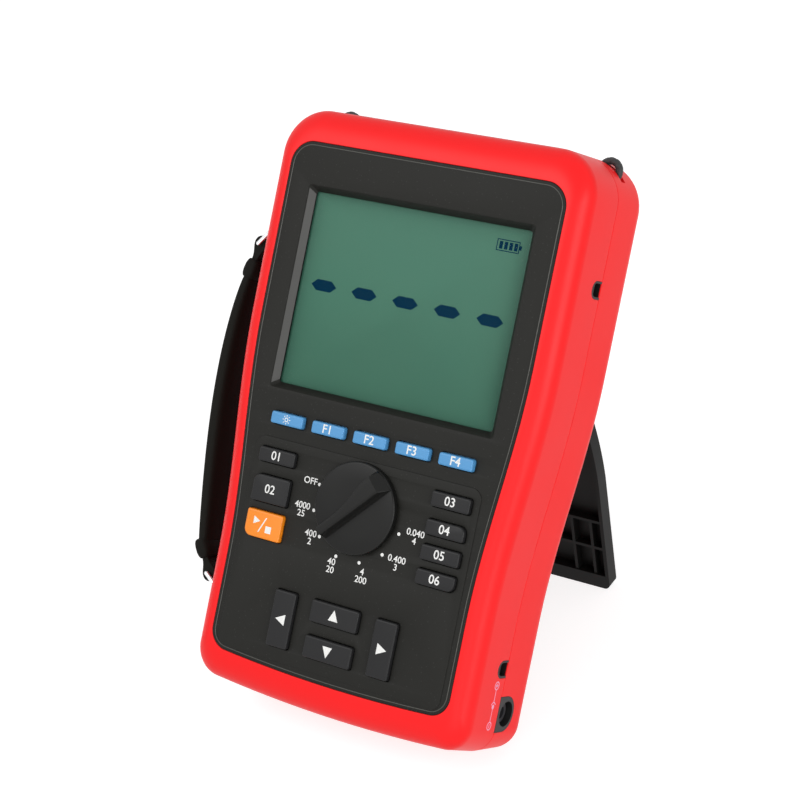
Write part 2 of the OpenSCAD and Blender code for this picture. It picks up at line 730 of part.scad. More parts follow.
// Screws: a head with a cross slot and a shank
board_head_r = 2.3;
board_head_h = 1.6;
slot_w = 0.6;
module screw(head_r, head_h, shank_r, length) {
    difference() {
        translate([0, 0, -head_h]) cylinder(r = head_r, h = head_h);
        for (q = [0, 90]) rotate([0, 0, q])
            translate([-head_r * 2 / 3, -slot_w / 2, -head_h - over]) cube([head_r * 4 / 3, slot_w, over + head_h / 2]);
    }
    cylinder(r = shank_r, h = length);
}
module board_screws() color("#c9c9c4") stand_up() at_board_posts()
    translate([0, 0, board_back]) screw(board_head_r, board_head_h, screw_r, board_t + board_screw_l - over);
module case_screws() color("#8f8f8c") stand_up() at_bosses()
    translate([0, 0, screw_seat_z]) screw(screw_head_r, screw_head_h, screw_r, screw_tip_z - screw_seat_z);
module battery_door_screws() color("#c9c9c4") stand_up() at_door_screws(pocket_z + door_head_h)
    screw(door_head_r, door_head_h, door_screw_r, door_screw_l - over);

module blue_key_1() color("#5fa8dc") stand_up() key(0);
module blue_key_2() color("#5fa8dc") stand_up() key(1);
module blue_key_3() color("#5fa8dc") stand_up() key(2);
module blue_key_4() color("#5fa8dc") stand_up() key(3);
module blue_key_5() color("#5fa8dc") stand_up() key(4);
module left_key_top() color("#3c3c3e") stand_up() key(5);
module left_key_middle() color("#3c3c3e") stand_up() key(6);
module start_key() color("#f0902a") stand_up() key(7);
module right_key_1() color("#3c3c3e") stand_up() key(8);
module right_key_2() color("#3c3c3e") stand_up() key(9);
module right_key_3() color("#3c3c3e") stand_up() key(10);
module right_key_4() color("#3c3c3e") stand_up() key(11);
module arrow_key_left() color("#3c3c3e") stand_up() key(12);
module arrow_key_up() color("#3c3c3e") stand_up() key(13);
module arrow_key_down() color("#3c3c3e") stand_up() key(14);
module arrow_key_right() color("#3c3c3e") stand_up() key(15);

// Dial knob with its grip bar, the pointer end towards negative X before it is turned to its rest
knob_free = 0.2;
knob_edge = 1.2;
knob_low = field_t + knob_free;
knob_top = knob_low + knob_disc_h;
hub_low = -7.5;
grip_tip = 18.9;
grip_tip_lean = 0.7;
grip_run = 15.8;
grip_end = 19.6;
module grip() {
    intersection() {
        translate([-knob_r, 0, 0]) rotate([90, 0, 90]) linear_extrude(2 * knob_r)
            polygon([[-grip_foot_w / 2, knob_top - knob_edge], [grip_foot_w / 2, knob_top - knob_edge],
                [grip_foot_w / 2, knob_top], [grip_top_w / 2, knob_top + grip_h],
                [-grip_top_w / 2, knob_top + grip_h], [-grip_foot_w / 2, knob_top]]);
        rotate([90, 0, 0]) linear_extrude(2 * knob_r, center = true)
            polygon([[-grip_tip, knob_top - knob_edge], [grip_end - knob_edge, knob_top - knob_edge],
                [grip_end - knob_edge, knob_top], [grip_run, knob_top + grip_h],
                [grip_tip_lean - grip_tip, knob_top + grip_h]]);
    }
}
module range_knob() color("#56565a") stand_up() rotate([0, 0, dial_rest - 180]) {
    difference() {
        union() {
            rotate_extrude() {
                translate([0, knob_low]) square([knob_r, knob_disc_h - knob_edge]);
                translate([0, knob_low]) square([knob_r - knob_edge, knob_disc_h]);
                translate([knob_r - knob_edge, knob_top - knob_edge]) circle(r = knob_edge);
            }
            rod_z(0, 0, hub_low, knob_low + over, hub_r);
        }
        rod_z(0, 0, hub_low - over, -face_t / 2 + pin_gap, spindle_r + pin_gap);
    }
    grip();
}
rotor_r = 18;
rotor_t = 3;
rotor_z = hub_low - rotor_t;
notch_n = 12;
detent_r = 1.6;
detent_in = 0.6;
spindle_out = 0.8;
module switch_rotor() color("#d9d6cc") stand_up() rotate([0, 0, dial_rest]) {
    difference() {
        rod_z(0, 0, rotor_z, hub_low, rotor_r);
        for (i = [0 : notch_n - 1]) rotate([0, 0, 360 * i / notch_n])
            rod_z(rotor_r + detent_in, 0, rotor_z - over, hub_low + over, detent_r);
    }
    rod_z(0, 0, board_back - spindle_out, -face_t / 2, spindle_r);
}
wiper_in_r = 8;
wiper_out_r = 15;
wiper_t = 0.5;
wiper_gap = 0.1;
finger_w = 2.4;
module wiper_contacts() color("#c8a04a") stand_up() rotate([0, 0, dial_rest]) {
    difference() {
        rod_z(0, 0, rotor_z - wiper_t, rotor_z, wiper_out_r);
        rod_z(0, 0, rotor_z - over, rotor_z + over, wiper_in_r);
    }
    for (i = [0 : 2]) rotate([0, 0, 120 * i]) block(wiper_in_r + finger_w / 2, wiper_in_r + finger_w * 3 / 2,
        -finger_w / 2, finger_w / 2, board_z + wiper_gap, rotor_z - wiper_t / 2);
}
roller_r = 1.3;
spring_t = 0.5;
spring_half = 8;
spring_base = 3;
spring_y = -rotor_r - knob_free - 2 * roller_r;
module detent_spring() color("#c2c6c9") stand_up() {
    rod_z(0, spring_y + roller_r, rotor_z, hub_low, roller_r);
    block(-spring_half, spring_half, spring_y - spring_t, spring_y + spring_t / 2, rotor_z, hub_low);
    for (x = [-spring_half, spring_half - spring_base])
        block(x, x + spring_base, spring_y - spring_base / 2, spring_y, board_z, hub_low);
}

module kickstand() color("#33332f") stand_up() at_stand_pin(stand_open) difference() {
    union() {
        translate([0, 0, -stand_pin_d]) linear_extrude(stand_t) stand_plan(0, 0);
        translate([0, 0, -stand_pin_d]) linear_extrude(stand_d) difference() {
            stand_plan(0, 0);
            stand_plan(-stand_wall, over);
        }
        translate([0, 0, -stand_pin_d]) linear_extrude(stand_d) intersection() {
            stand_plan(0, 0);
            translate([-stand_half_w, -stand_len]) square([2 * stand_half_w, stand_foot]);
        }
        for (t = stand_rib_at) block(-stand_half_w + stand_wall / 2, stand_half_w - stand_wall / 2,
            t - stand_len, t + stand_rib_t - stand_len, -stand_pin_d + stand_t / 2, rim_off - stand_rib_low);
        both_sides() for (x = stand_up_x) block(x, x + stand_rib_t, stand_foot / 2 - stand_len,
            stand_rib_at[1] + stand_rib_t / 2 - stand_len, -stand_pin_d + stand_t / 2, rim_off - stand_rib_low);
        rod_x(-stand_top_half, stand_top_half, 0, 0, stand_barrel_r);
    }
    rod_x(-stand_half_w, stand_half_w, 0, 0, stand_pin_r + pin_gap);
    block(-stand_half_w, stand_half_w, -stand_barrel_r, stand_d, stand_barrel_r, stand_d);
}
module stand_pin() color("#b9bcbe") stand_up()
    rod_x(-stand_top_half - stand_free - pin_grip + pin_gap, stand_top_half + stand_free + pin_grip - pin_gap,
        stand_pin_y, stand_pin_z, stand_pin_r);

module battery_door() color("#2b2b2a") stand_up() difference() {
    translate([0, door_y, pocket_z]) linear_extrude(door_t) square([door_w, door_h], center = true);
    at_door_screws(pocket_z - over) cylinder(r = door_head_r + pin_gap, h = door_head_h + over);
    at_door_screws(pocket_z - over) cylinder(r = door_screw_r + pin_gap, h = door_t + 2 * over);
}
module battery_pack() color("#3f6fa8") stand_up() for (y = [-1, 1])
    translate([0, door_y + y * (cell_r + cell_gap), door_in_z + cell_r + cell_gap]) {
        rod_x(-cell_l / 2, cell_l / 2, 0, 0, cell_r);
        rod_x(cell_l / 2, cell_l / 2 + cell_tip_l, 0, 0, cell_tip_r);
    }

// Terminal block at the top with four sockets and a data port
socket_x = [-42, -26, 26, 42];
socket_out_r = 3.2;
socket_l = 18;
socket_in = 2;
socket_z = -28.5;
socket_mouth = block_proud + case_up - socket_in;
usb_w = 12;
usb_h = 10.9;
usb_t = 0.5;
usb_l = 16;
usb_in = 1;
usb_deep = 11.5;
usb_tongue = [5.6, 4, 3.2];
module terminal_block() color("#222222") stand_up() difference() {
    block(-block_w / 2, block_w / 2, block_low_y + part_gap, case_up + block_proud, block_back, block_front);
    for (x = socket_x) rod_y(x, block_low_y - over, case_up + 2 * over, socket_z, socket_out_r + pin_gap);
    block(-usb_w / 2 - pin_gap, usb_w / 2 + pin_gap, case_up + block_proud - usb_in - usb_l, case_up + 2 * over,
        socket_z - usb_h / 2 - pin_gap, socket_z + usb_h / 2 + pin_gap);
}
module test_sockets() color("#d2b15a") stand_up() for (x = socket_x) difference() {
    rod_y(x, socket_mouth - socket_l, socket_mouth, socket_z, socket_out_r);
    rod_y(x, socket_mouth - socket_l + over, socket_mouth + over, socket_z, socket_r);
}
module usb_port() color("#c4c7ca") stand_up() {
    mouth = case_up + block_proud - usb_in;
    difference() {
        block(-usb_w / 2, usb_w / 2, mouth - usb_l, mouth, socket_z - usb_h / 2, socket_z + usb_h / 2);
        block(usb_t - usb_w / 2, usb_w / 2 - usb_t, mouth - usb_deep, mouth + over,
            usb_t + socket_z - usb_h / 2, socket_z + usb_h / 2 - usb_t);
    }
    block(-usb_tongue[0] / 2, usb_tongue[0] / 2, mouth - usb_deep - over, mouth - usb_deep + usb_tongue[1],
        socket_z - usb_tongue[2] / 2, socket_z + usb_tongue[2] / 2);
}

// Power jack in its insert on the right side
jack_out_r = 4.6;
jack_hole_r = 2.9;
jack_pin_r = 1;
jack_l = 12;
jack_deep = 9;
jack_wall_r = 2.4;
module jack_insert() color("#1c1c1c") stand_up() difference() {
    side_arch(low_half_w - insert_deep, low_half_w, jack_y, insert_h, insert_d, -1);
    block(low_half_w - insert_deep - over, low_half_w + over, jack_y - insert_h, jack_y + insert_h,
        -seam_d, insert_h - seam_d);
    rod_x(low_half_w - insert_deep - over, low_half_w + over, jack_y, jack_hole_z, jack_r);
}
module dc_jack() color("#27282a") stand_up() {
    back = low_half_w - insert_deep - part_gap;
    difference() {
        rod_x(back - jack_l, back + insert_deep / 2, jack_y, jack_hole_z, jack_out_r);
        rod_x(back + insert_deep / 2 - jack_deep, back + insert_deep, jack_y, jack_hole_z, jack_hole_r);
    }
    rod_x(back - jack_deep, back + insert_deep / 4, jack_y, jack_hole_z, jack_pin_r);
    block(back - jack_l, back, jack_y - jack_out_r, jack_y + jack_out_r, jack_hole_z + jack_wall_r, board_back);
}

// Strap lugs: a lined notch with a cross bar, a wire ring through it, and the hand strap on the left
ring_z = -seam_d + 3.4;
bar_in = 2.4;
ring_r = 1;
ring_g = bush_bar_r + ring_r + part_gap;
ring_half = 11.5;
ring_out = 9;
ring_drop = 8.6;
ring_kink = 1.9;
wire_bend_share = 1.04;
module lug_bushes() color("#191919") stand_up() both_sides() for (y = [lug_high, lug_low]) {
    s = side_at(y);
    difference() {
        side_arch(s - bush_deep, s, y, lug_h, lug_d, 1);
        side_arch(s - bush_deep + bush_t, s + over, y, lug_h - 2 * bush_t, lug_d - bush_t, 1);
    }
    rod_y(s - bar_in, y - lug_h / 2 + bush_t / 2, y + lug_h / 2 - bush_t / 2, ring_z, bush_bar_r);
}
function mix(a, b, t) = a + (b - a) * t;
strap_top_y = 88.4;
strap_low_y = -36;
strap_top_in = 3.8;
strap_bow = 5.2;
strap_bow_share = 0.75;
strap_end_t = 5;
strap_z = ring_z;
strap_steps = 14;
strap_sides = 20;
strap_square_share = 0.5;
function strap_x(u) = mix(half_w + strap_bulge - strap_top_in, low_half_w + strap_bulge, u)
    + strap_bow * sin(180 * pow(u, strap_bow_share));
function strap_thick(u) = mix(strap_end_t, strap_t, pow(sin(180 * u), strap_square_share));
function strap_wide(u) = mix(webbing_w, strap_w, pow(sin(180 * u), strap_square_share));
function signed_pow(v, p) = sign(v) * pow(abs(v), p);
strap_out = max([for (i = [0 : strap_steps]) strap_x(i / strap_steps)]);
webbing_w = 20;
webbing_t = 3;
module strap_pad() color("#1d1c19") stand_up() rotate([90, 0, 0])
    loft([for (i = [0 : strap_steps]) let (u = i / strap_steps, t = strap_thick(u) / 2, w = strap_wide(u) / 2)
        [[for (k = [0 : strap_sides - 1]) let (q = 360 * k / strap_sides)
            [-strap_x(u) + t + t * signed_pow(cos(q), strap_square_share),
                strap_z + w * signed_pow(sin(q), strap_square_share)]],
            mix(-strap_top_y, -strap_low_y, u)]]);

// Rings hang from a lug: y is the lug's height, way is 1 where the strap leaves downwards
module wire(points) {
    for (i = [0 : len(points) - 2]) bar(points[i], points[i + 1], ring_r);
    for (p = points) translate(p) sphere(r = ring_r * wire_bend_share, $fn = 24);
}
function ring_bar(y, way) = [-(side_at(y) + ring_out), y - way * ring_drop, strap_z];
module strap_ring(y, way) {
    s = side_at(y);
    b = ring_bar(y, way);
    path = [for (p = [[-(s - bar_in - ring_g), y, -ring_g], [-s - ring_kink, y, -ring_g],
        [-s - ring_kink, y, -ring_half], [b[0], b[1], -ring_half], [b[0], b[1], ring_half],
        [-s - ring_kink, y, ring_half], [-s - ring_kink, y, ring_g],
        [-(s - bar_in - ring_g), y, ring_g]]) p + [0, 0, ring_z]];
    wire(concat(path, [path[0]]));
}
strap_low_way = 0.6;
module strap_rings() color("#c9ccce") stand_up() {
    strap_ring(lug_high, 1);
    strap_ring(lug_low, -strap_low_way);
}
loop_r = 3.6;
loop_free = 0.15;
collar_h = 8;
collar_t = 1.8;
// A tail from the ring to the strap: centre line from the ring bar to the pad's end
function strap_end(u) = [-strap_x(u) + strap_end_t / 2, mix(strap_top_y, strap_low_y, u)];
// Share of the way at which a tail grown by grow ends just short of the pad
function tail_share(y, way, u, grow) =
    let (b = ring_bar(y, way), d = strap_end(u) - [b[0], b[1]])
    1 - ((webbing_t / 2 + grow) * abs(d[0] / d[1]) + loop_free) / norm(d);
module tail(y, way, u, grow, from_share, to_share) {
    b = ring_bar(y, way);
    e = strap_end(u);
    a = mix([b[0], b[1]], e, from_share);
    c = mix([b[0], b[1]], e, to_share);
    d = c - a;
    translate([a[0], a[1], strap_z]) rotate([0, 0, atan2(d[1], d[0])])
        translate([0, -webbing_t / 2 - grow, -webbing_w / 2 - grow])
            cube([norm(d), webbing_t + 2 * grow, webbing_w + 2 * grow]);
}
loop_from_share = 0.2;
collar_from_share = 0.45;
module strap_loops() color("#191817") stand_up() difference() {
    for (e = [[lug_high, 1, 0], [lug_low, -strap_low_way, 1]]) {
        b = ring_bar(e[0], e[1]);
        rod_z(b[0], b[1], strap_z + loop_free - webbing_w / 2, strap_z - loop_free + webbing_w / 2, loop_r);
        tail(e[0], e[1], e[2], 0, loop_from_share, tail_share(e[0], e[1], e[2], 0));
    }
    for (e = [[lug_high, 1, 0], [lug_low, -strap_low_way, 1]]) {
        b = ring_bar(e[0], e[1]);
        rod_z(b[0], b[1], strap_z - webbing_w, strap_z + webbing_w, ring_r + loop_free);
    }
}
module strap_collars() color("#26262a") stand_up() for (e = [[lug_high, 1, 0], [lug_low, -strap_low_way, 1]])
    difference() {
        tail(e[0], e[1], e[2], collar_t, collar_from_share, tail_share(e[0], e[1], e[2], collar_t));
        tail(e[0], e[1], e[2], loop_free, 0, 1);
    }

module neck_cord_loops() color("#2a2a2a") stand_up() both_sides()
    translate([cord_at[0], cord_at[1], cord_z]) rotate_extrude() translate([cord_bend_r, 0]) circle(r = cord_r);

front_shell();
rear_shell();
face_plate();
display_window();
display_glass();
backlight();
display_holder();
keypad_mat();
main_board();
board_parts();
heat_sink();
current_shunt();
fuse();
buzzer();
board_screws();
case_screws();
blue_key_1();
blue_key_2();
blue_key_3();
blue_key_4();
blue_key_5();
left_key_top();
left_key_middle();
start_key();
right_key_1();
right_key_2();
right_key_3();
right_key_4();
arrow_key_left();
arrow_key_up();
arrow_key_down();
arrow_key_right();
range_knob();
switch_rotor();
wiper_contacts();
detent_spring();
kickstand();
stand_pin();
battery_door();
battery_door_screws();
battery_pack();
terminal_block();
test_sockets();
usb_port();
jack_insert();
dc_jack();
lug_bushes();
strap_rings();
strap_pad();
strap_collars();
strap_loops();
neck_cord_loops();
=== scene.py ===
"""Looks of a handheld bench meter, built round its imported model.

Shapes are written in millimetres in the meter's own frame: X to the right, Y up the face and Z out of
the face, with the dial's centre at zero. The frame's dial joint says where that frame stands in the world.
"""

import json
import logging
from contextlib import contextmanager
from dataclasses import dataclass
from enum import Enum
from typing import Iterator, Sequence

import bmesh
import bpy
import numpy as np
from mathutils import Matrix, Vector


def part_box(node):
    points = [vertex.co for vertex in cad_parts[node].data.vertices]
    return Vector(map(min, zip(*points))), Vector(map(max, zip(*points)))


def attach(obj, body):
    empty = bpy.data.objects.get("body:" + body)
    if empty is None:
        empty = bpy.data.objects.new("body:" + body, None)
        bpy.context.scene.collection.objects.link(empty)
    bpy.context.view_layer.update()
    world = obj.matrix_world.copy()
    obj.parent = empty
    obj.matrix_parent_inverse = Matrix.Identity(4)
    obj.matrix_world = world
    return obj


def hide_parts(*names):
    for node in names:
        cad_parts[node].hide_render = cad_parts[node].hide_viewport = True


log = logging.getLogger("meter")
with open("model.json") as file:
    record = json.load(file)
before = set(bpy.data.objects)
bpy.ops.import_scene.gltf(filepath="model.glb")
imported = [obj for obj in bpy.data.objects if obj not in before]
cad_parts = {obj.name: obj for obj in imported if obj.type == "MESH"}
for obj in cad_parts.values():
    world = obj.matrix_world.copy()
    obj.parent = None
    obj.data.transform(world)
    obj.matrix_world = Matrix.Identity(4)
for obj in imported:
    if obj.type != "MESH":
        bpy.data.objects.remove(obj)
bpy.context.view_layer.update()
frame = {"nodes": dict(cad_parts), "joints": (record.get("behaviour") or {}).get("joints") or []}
MM = 0.001
ROOT = "meter"
MERGE = 1e-6
PRINT_T = 0.03
LUG_Y = (110.6, -53.0)
TURN = 6.2832
SMOOTH = 35
SMOOTH_WIDE = 40
ROUGH_SWING = 0.12


class MeterFrame:
    """The meter's own frame, taken from the dial's joint."""

    def __init__(self) -> None:
        """Reads the dial joint: its place is the frame's zero and its axis is Z."""
        dial = next(j for j in frame["joints"] if j["name"] == "knob_turn")
        self.zero = np.array(dial["pos_m"])
        out = np.array(dial["axis"])
        across = np.array([1.0, 0.0, 0.0])
        self.turn = np.stack([across, np.cross(out, across), out])

    def world(self, points: np.ndarray) -> np.ndarray:
        """Carries points from millimetres in the meter's frame to metres in the world."""
        return np.asarray(points, float) * MM @ self.turn + self.zero

    def direction(self, way: Sequence[float]) -> np.ndarray:
        """Turns a direction of the meter's frame into the world's."""
        return np.asarray(way, float) @ self.turn


METER = MeterFrame()


@dataclass(frozen=True)
class CaseShape:
    """Outline of the case, with the same driving sizes as the part's source, in millimetres."""

    half_w: float = 77.5
    waist_step: float = 7.0
    up: float = 165.0
    down: float = 94.0
    depth: float = 57.0
    seam: float = 28.3
    top_corner: float = 20.0
    bottom_corner: float = 12.0
    bow_rise: float = 3.5
    waist_top: float = 75.0
    waist_bottom: float = -35.0
    front_round: float = 9.0
    back_round: float = 10.0
    rim_side: float = 9.0
    rim_top: float = 14.8
    rim_bottom: float = 16.3
    bottom_draft: float = 2.0
    face_top_corner: float = 10.5
    face_bottom_corner: float = 9.0
    rim_land: float = 0.4
    bow_steps: int = 8
    corner_steps: int = 14
    waist_steps: int = 22

    @property
    def corner_at(self) -> tuple[float, float]:
        """Centre of the right upper corner's rounding."""
        return self.half_w - self.top_corner, self.up - self.top_corner

    @property
    def low_half_w(self) -> float:
        """Half width at the keypad end."""
        return self.half_w - self.waist_step

    def side_at(self, y: float | np.ndarray) -> float | np.ndarray:
        """Half width at height y: a half cosine wave between the waist's two ends."""
        run = np.clip((self.waist_top - y) / (self.waist_top - self.waist_bottom), 0, 1)
        return self.half_w - self.waist_step * (1 - np.cos(np.pi * run)) / 2

    def outline(self, ds: float, dt: float, db: float, rt: float, rb: float) -> np.ndarray:
        """Closed outline inset by ds at the sides, dt at the top and db at the bottom.

        The bottom is a parabola, the lower corners are arcs that leave it squarely, the sides follow the
        waist's cosine, and the upper corners are quarter circles.

        Args:
            ds: Inset of the sides.
            dt: Inset of the top.
            db: Inset of the bottom.
            rt: Radius of the upper corners.
            rb: Radius of the lower corners.

        Returns:
            Points of the outline, anticlockwise from the middle of the bottom.
        """
        bow = self.bow_rise / self.low_half_w**2
        centre_x = self.low_half_w - ds - rb
        slope = np.arctan(2 * bow * centre_x)
        join_x = centre_x + rb * np.sin(slope)
        centre_y = -self.down + db + bow * join_x**2 + rb * np.cos(slope)
        x = join_x * np.arange(self.bow_steps) / self.bow_steps
        base = np.stack([x, -self.down + db + bow * x * x], 1)
        q = (np.pi / 2 - slope) * (1 - np.linspace(0, 1, self.corner_steps + 1))
        low = np.stack([centre_x + rb * np.cos(q), centre_y - rb * np.sin(q)], 1)
        y = np.linspace(self.waist_bottom, self.waist_top, self.waist_steps + 1)
        side = np.stack([self.side_at(y) - ds, y], 1)
        q = np.linspace(0, np.pi / 2, self.corner_steps + 1)
        high = np.stack([self.half_w - ds - rt + rt * np.cos(q), self.up - dt - rt + rt * np.sin(q)], 1)
        right = np.concatenate([base, low, side, high])
        return np.concatenate([right, right[:0:-1] * [-1, 1]])

    def case(self, inset: float) -> np.ndarray:
        """Case outline inset evenly."""
        return self.outline(inset, inset, inset, max(self.top_corner - inset, 0.5),
                            max(self.bottom_corner - inset, 0.5))

    def cavity(self, inset: float) -> np.ndarray:
        """Inside of the front half, whose lower wall is thicker by the draft."""
        return self.outline(inset, inset, inset + self.bottom_draft, self.top_corner - inset,
                            self.bottom_corner - inset)

    def face(self, inset: float) -> np.ndarray:
        """Face plate outline inset evenly from the plate's edge."""
        return self.outline(self.rim_side + inset, self.rim_top + inset, self.rim_bottom + inset,
                            max(self.face_top_corner - inset, 0.5), max(self.face_bottom_corner - inset, 0.5))

    def rim(self, q: float) -> tuple[np.ndarray, float]:
        """Ring of the rounded front rim at angle q: a quarter ellipse from the side to the face.

        Args:
            q: Angle, zero on the face and a quarter turn at the side.

        Returns:
            The ring's outline and its height.
        """
        c = 1 - np.cos(q)
        ring = self.outline((self.rim_side - self.rim_land) * c, (self.rim_top - self.rim_land) * c,
                            self.bottom_draft + (self.rim_bottom - self.bottom_draft - self.rim_land) * c,
                            self.top_corner + (self.face_top_corner - self.top_corner) * c,
                            self.bottom_corner + (self.face_bottom_corner - self.bottom_corner) * c)
        return ring, -self.front_round * (1 - np.sin(q))

    def back(self, q: float) -> tuple[np.ndarray, float]:
        """Ring of the rounded back edge at angle q."""
        return self.case(self.back_round * (1 - np.cos(q))), -self.depth + self.back_round * (1 - np.sin(q))


CASE = CaseShape()


# Mesh tools

def add_object(name: str, data: bpy.types.ID) -> bpy.types.Object:
    """Makes an object of its data and puts it in the scene.

    Args:
        name: Name of the object.
        data: Its mesh, curve, camera or lamp.

    Returns:
        The new object.
    """
    made = bpy.data.objects.new(name, data)
    bpy.context.scene.collection.objects.link(made)
    return made


@contextmanager
def editing(mesh: bpy.types.Mesh) -> Iterator[bmesh.types.BMesh]:
    """Opens a mesh for editing and writes it back afterwards.

    Args:
        mesh: The mesh.

    Yields:
        The mesh as it can be edited.
    """
    work = bmesh.new()
    work.from_mesh(mesh)
    yield work
    work.to_mesh(mesh)
    work.free()


def level(ring: np.ndarray, z: float) -> np.ndarray:
    """Lifts a flat outline to height z."""
    return np.column_stack([ring, np.full(len(ring), z)])


@dataclass
class Shape:
    """Points in millimetres of the meter's frame, with faces of any size."""

    points: np.ndarray
    faces: list[list[int]]

    @classmethod
    def grid(cls, rings: np.ndarray | Sequence[np.ndarray], caps: bool = False, close: bool = False,
             flip: bool = False) -> "Shape":
        """A surface through rings of points.

        Args:
            rings: Rings of the same number of points.
            caps: Whether flat faces close the first and the last ring.
            close: Whether the last ring joins the first.
            flip: Whether the faces are turned over.

        Returns:
            The surface, with the faces between two rings first and the caps last.
        """
        grid = np.asarray(rings)
        rows, columns = grid.shape[:2]
        r, c = (a.ravel() for a in np.indices((rows if close else rows - 1, columns)))
        r2, c2 = (r + 1) % rows, (c + 1) % columns
        faces = np.stack([r * columns + c, r * columns + c2, r2 * columns + c2, r2 * columns + c], 1).tolist()
        if caps:
            faces += [list(range(columns - 1, -1, -1)), list(range((rows - 1) * columns, rows * columns))]
        return cls(grid.reshape(-1, 3), [f[::-1] for f in faces] if flip else faces)

    @classmethod
    def prism(cls, outline: np.ndarray, z0: float, z1: float) -> "Shape":
        """A straight prism over an anticlockwise outline."""
        return cls.grid([level(outline, z0), level(outline, z1)], caps=True)

    @staticmethod
    def join(shapes: Sequence["Shape"]) -> "Shape":
        """Several shapes as one.

        Args:
            shapes: The shapes, whose order the faces keep.

        Returns:
            One shape.
        """
        points, faces, base = [], [], 0
        for s in shapes:
            points.append(s.points)
            faces += [[i + base for i in f] for f in s.faces]
            base += len(s.points)
        return Shape(np.concatenate(points), faces)

    def moved(self, x: float, y: float = 0) -> "Shape":
        """The shape moved across the face."""
        return Shape(self.points + [x, y, 0], self.faces)

    def turned(self, angle: float) -> "Shape":
        """The shape turned about Z by an angle in degrees."""
        return Shape(self.points @ np.array(Matrix.Rotation(np.radians(angle), 3, "Z")).T, self.faces)


def rounded_box(w: float, h: float, radii: Sequence[float], steps: int = 6) -> np.ndarray:
    """Rectangle with its own radius at each corner, from bottom right anticlockwise.

    Args:
        w: Width.
        h: Height.
        radii: Radii at bottom right, top right, top left and bottom left.
        steps: Steps round a corner.

    Returns:
        Points of the outline, anticlockwise.
    """
    parts = []
    for k, (sx, sy) in enumerate([(1, -1), (1, 1), (-1, 1), (-1, -1)]):
        r = radii[k]
        q = np.radians(-90 + 90 * k) + np.linspace(0, np.pi / 2, steps + 1)
        parts.append(np.stack([sx * (w / 2 - r) + r * np.cos(q), sy * (h / 2 - r) + r * np.sin(q)], 1))
    return np.concatenate(parts)


def rectangle(x0: float, x1: float, y0: float, y1: float) -> np.ndarray:
    """A rectangle between its sides, anticlockwise."""
    return np.array([[x0, y0], [x1, y0], [x1, y1], [x0, y1]])


def printed(outline: np.ndarray, z: float) -> Shape:
    """A flat mark of print over an outline, on a surface at height z."""
    return Shape.prism(outline, z, z + PRINT_T)


def circle(r: float, steps: int = 64, x: float = 0, y: float = 0) -> np.ndarray:
    """A circle, anticlockwise."""
    q = np.linspace(0, 2 * np.pi, steps, endpoint=False)
    return np.stack([x + r * np.cos(q), y + r * np.sin(q)], 1)


def oval(steps: int, across: float, along: float) -> tuple[np.ndarray, np.ndarray]:
    """Both coordinates round a unit circle that is squared off: a power below one flattens a side.

    Args:
        steps: Number of points.
        across: Power of the first coordinate.
        along: Power of the second coordinate.

    Returns:
        The two coordinates.
    """
    q = np.linspace(0, 2 * np.pi, steps, endpoint=False)
    c, s = np.cos(q), np.sin(q)
    return np.sign(c) * np.abs(c) ** across, np.sign(s) * np.abs(s) ** along


def revolve(profile: Sequence[tuple[float, float]], steps: int = 128) -> Shape:
    """A profile of radius and height turned about Z, closed where its radius is zero.

    Args:
        profile: Radii and heights.
        steps: Steps round the axis.

    Returns:
        The surface.
    """
    p = np.array(profile, float)
    q = np.linspace(0, 2 * np.pi, steps, endpoint=False)
    rings = np.stack([p[:, :1] * np.cos(q), p[:, :1] * np.sin(q), np.repeat(p[:, 1:], steps, 1)], 2)
    return Shape.grid(rings)


def arc(x: float, y: float, r: float, a0: float, a1: float, steps: int = 6) -> list[tuple[float, float]]:
    """Points of an arc between two angles in degrees."""
    q = np.radians(np.linspace(a0, a1, steps + 1))
    return list(zip(x + r * np.cos(q), y + r * np.sin(q)))


def mesh_of(name: str, shape: Shape, smooth: float | None = SMOOTH) -> bpy.types.Object:
    """Makes an object of a shape, at the origin, with its place in its mesh.

    Args:
        name: Name of the object.
        shape: Points and faces in the meter's frame.
        smooth: Edges sharper than this angle in degrees stay sharp; None leaves it flat.

    Returns:
        The new object.
    """
    mesh = bpy.data.meshes.new(name)
    mesh.from_pydata(METER.world(shape.points).tolist(), [], shape.faces)
    mesh.validate()
    piece = add_object(name, mesh)
    shade(piece, smooth)
    return piece


def shade(piece: bpy.types.Object, smooth: float | None) -> None:
    """Shades a piece smooth up to an angle in degrees.

    Args:
        piece: The piece.
        smooth: Edges sharper than this stay sharp; None leaves it flat.
    """
    mesh = piece.data
    mesh.polygons.foreach_set("use_smooth", np.full(len(mesh.polygons), smooth is not None))
    if smooth is not None:
        mesh.set_sharp_from_angle(angle=np.radians(smooth))
    mesh.update()


def flatten(piece: bpy.types.Object) -> bpy.types.Object:
    """Lets the large faces of a piece rule the normals of the roundings beside them.

    Args:
        piece: The piece.

    Returns:
        The same piece.
    """
    mod = piece.modifiers.new("weigh", "WEIGHTED_NORMAL")
    mod.keep_sharp, mod.weight = True, 80
    apply_modifiers(piece)
    return piece


def apply_modifiers(piece: bpy.types.Object) -> None:
    """Writes the modifiers' result into the piece's mesh and removes them.

    Args:
        piece: The piece.
    """
    done = evaluated(piece)
    piece.modifiers.clear()
    piece.data = done


def evaluated(piece: bpy.types.Object) -> bpy.types.Mesh:
    """The mesh of a piece as its modifiers or its curve make it."""
    return bpy.data.meshes.new_from_object(piece.evaluated_get(bpy.context.evaluated_depsgraph_get()))


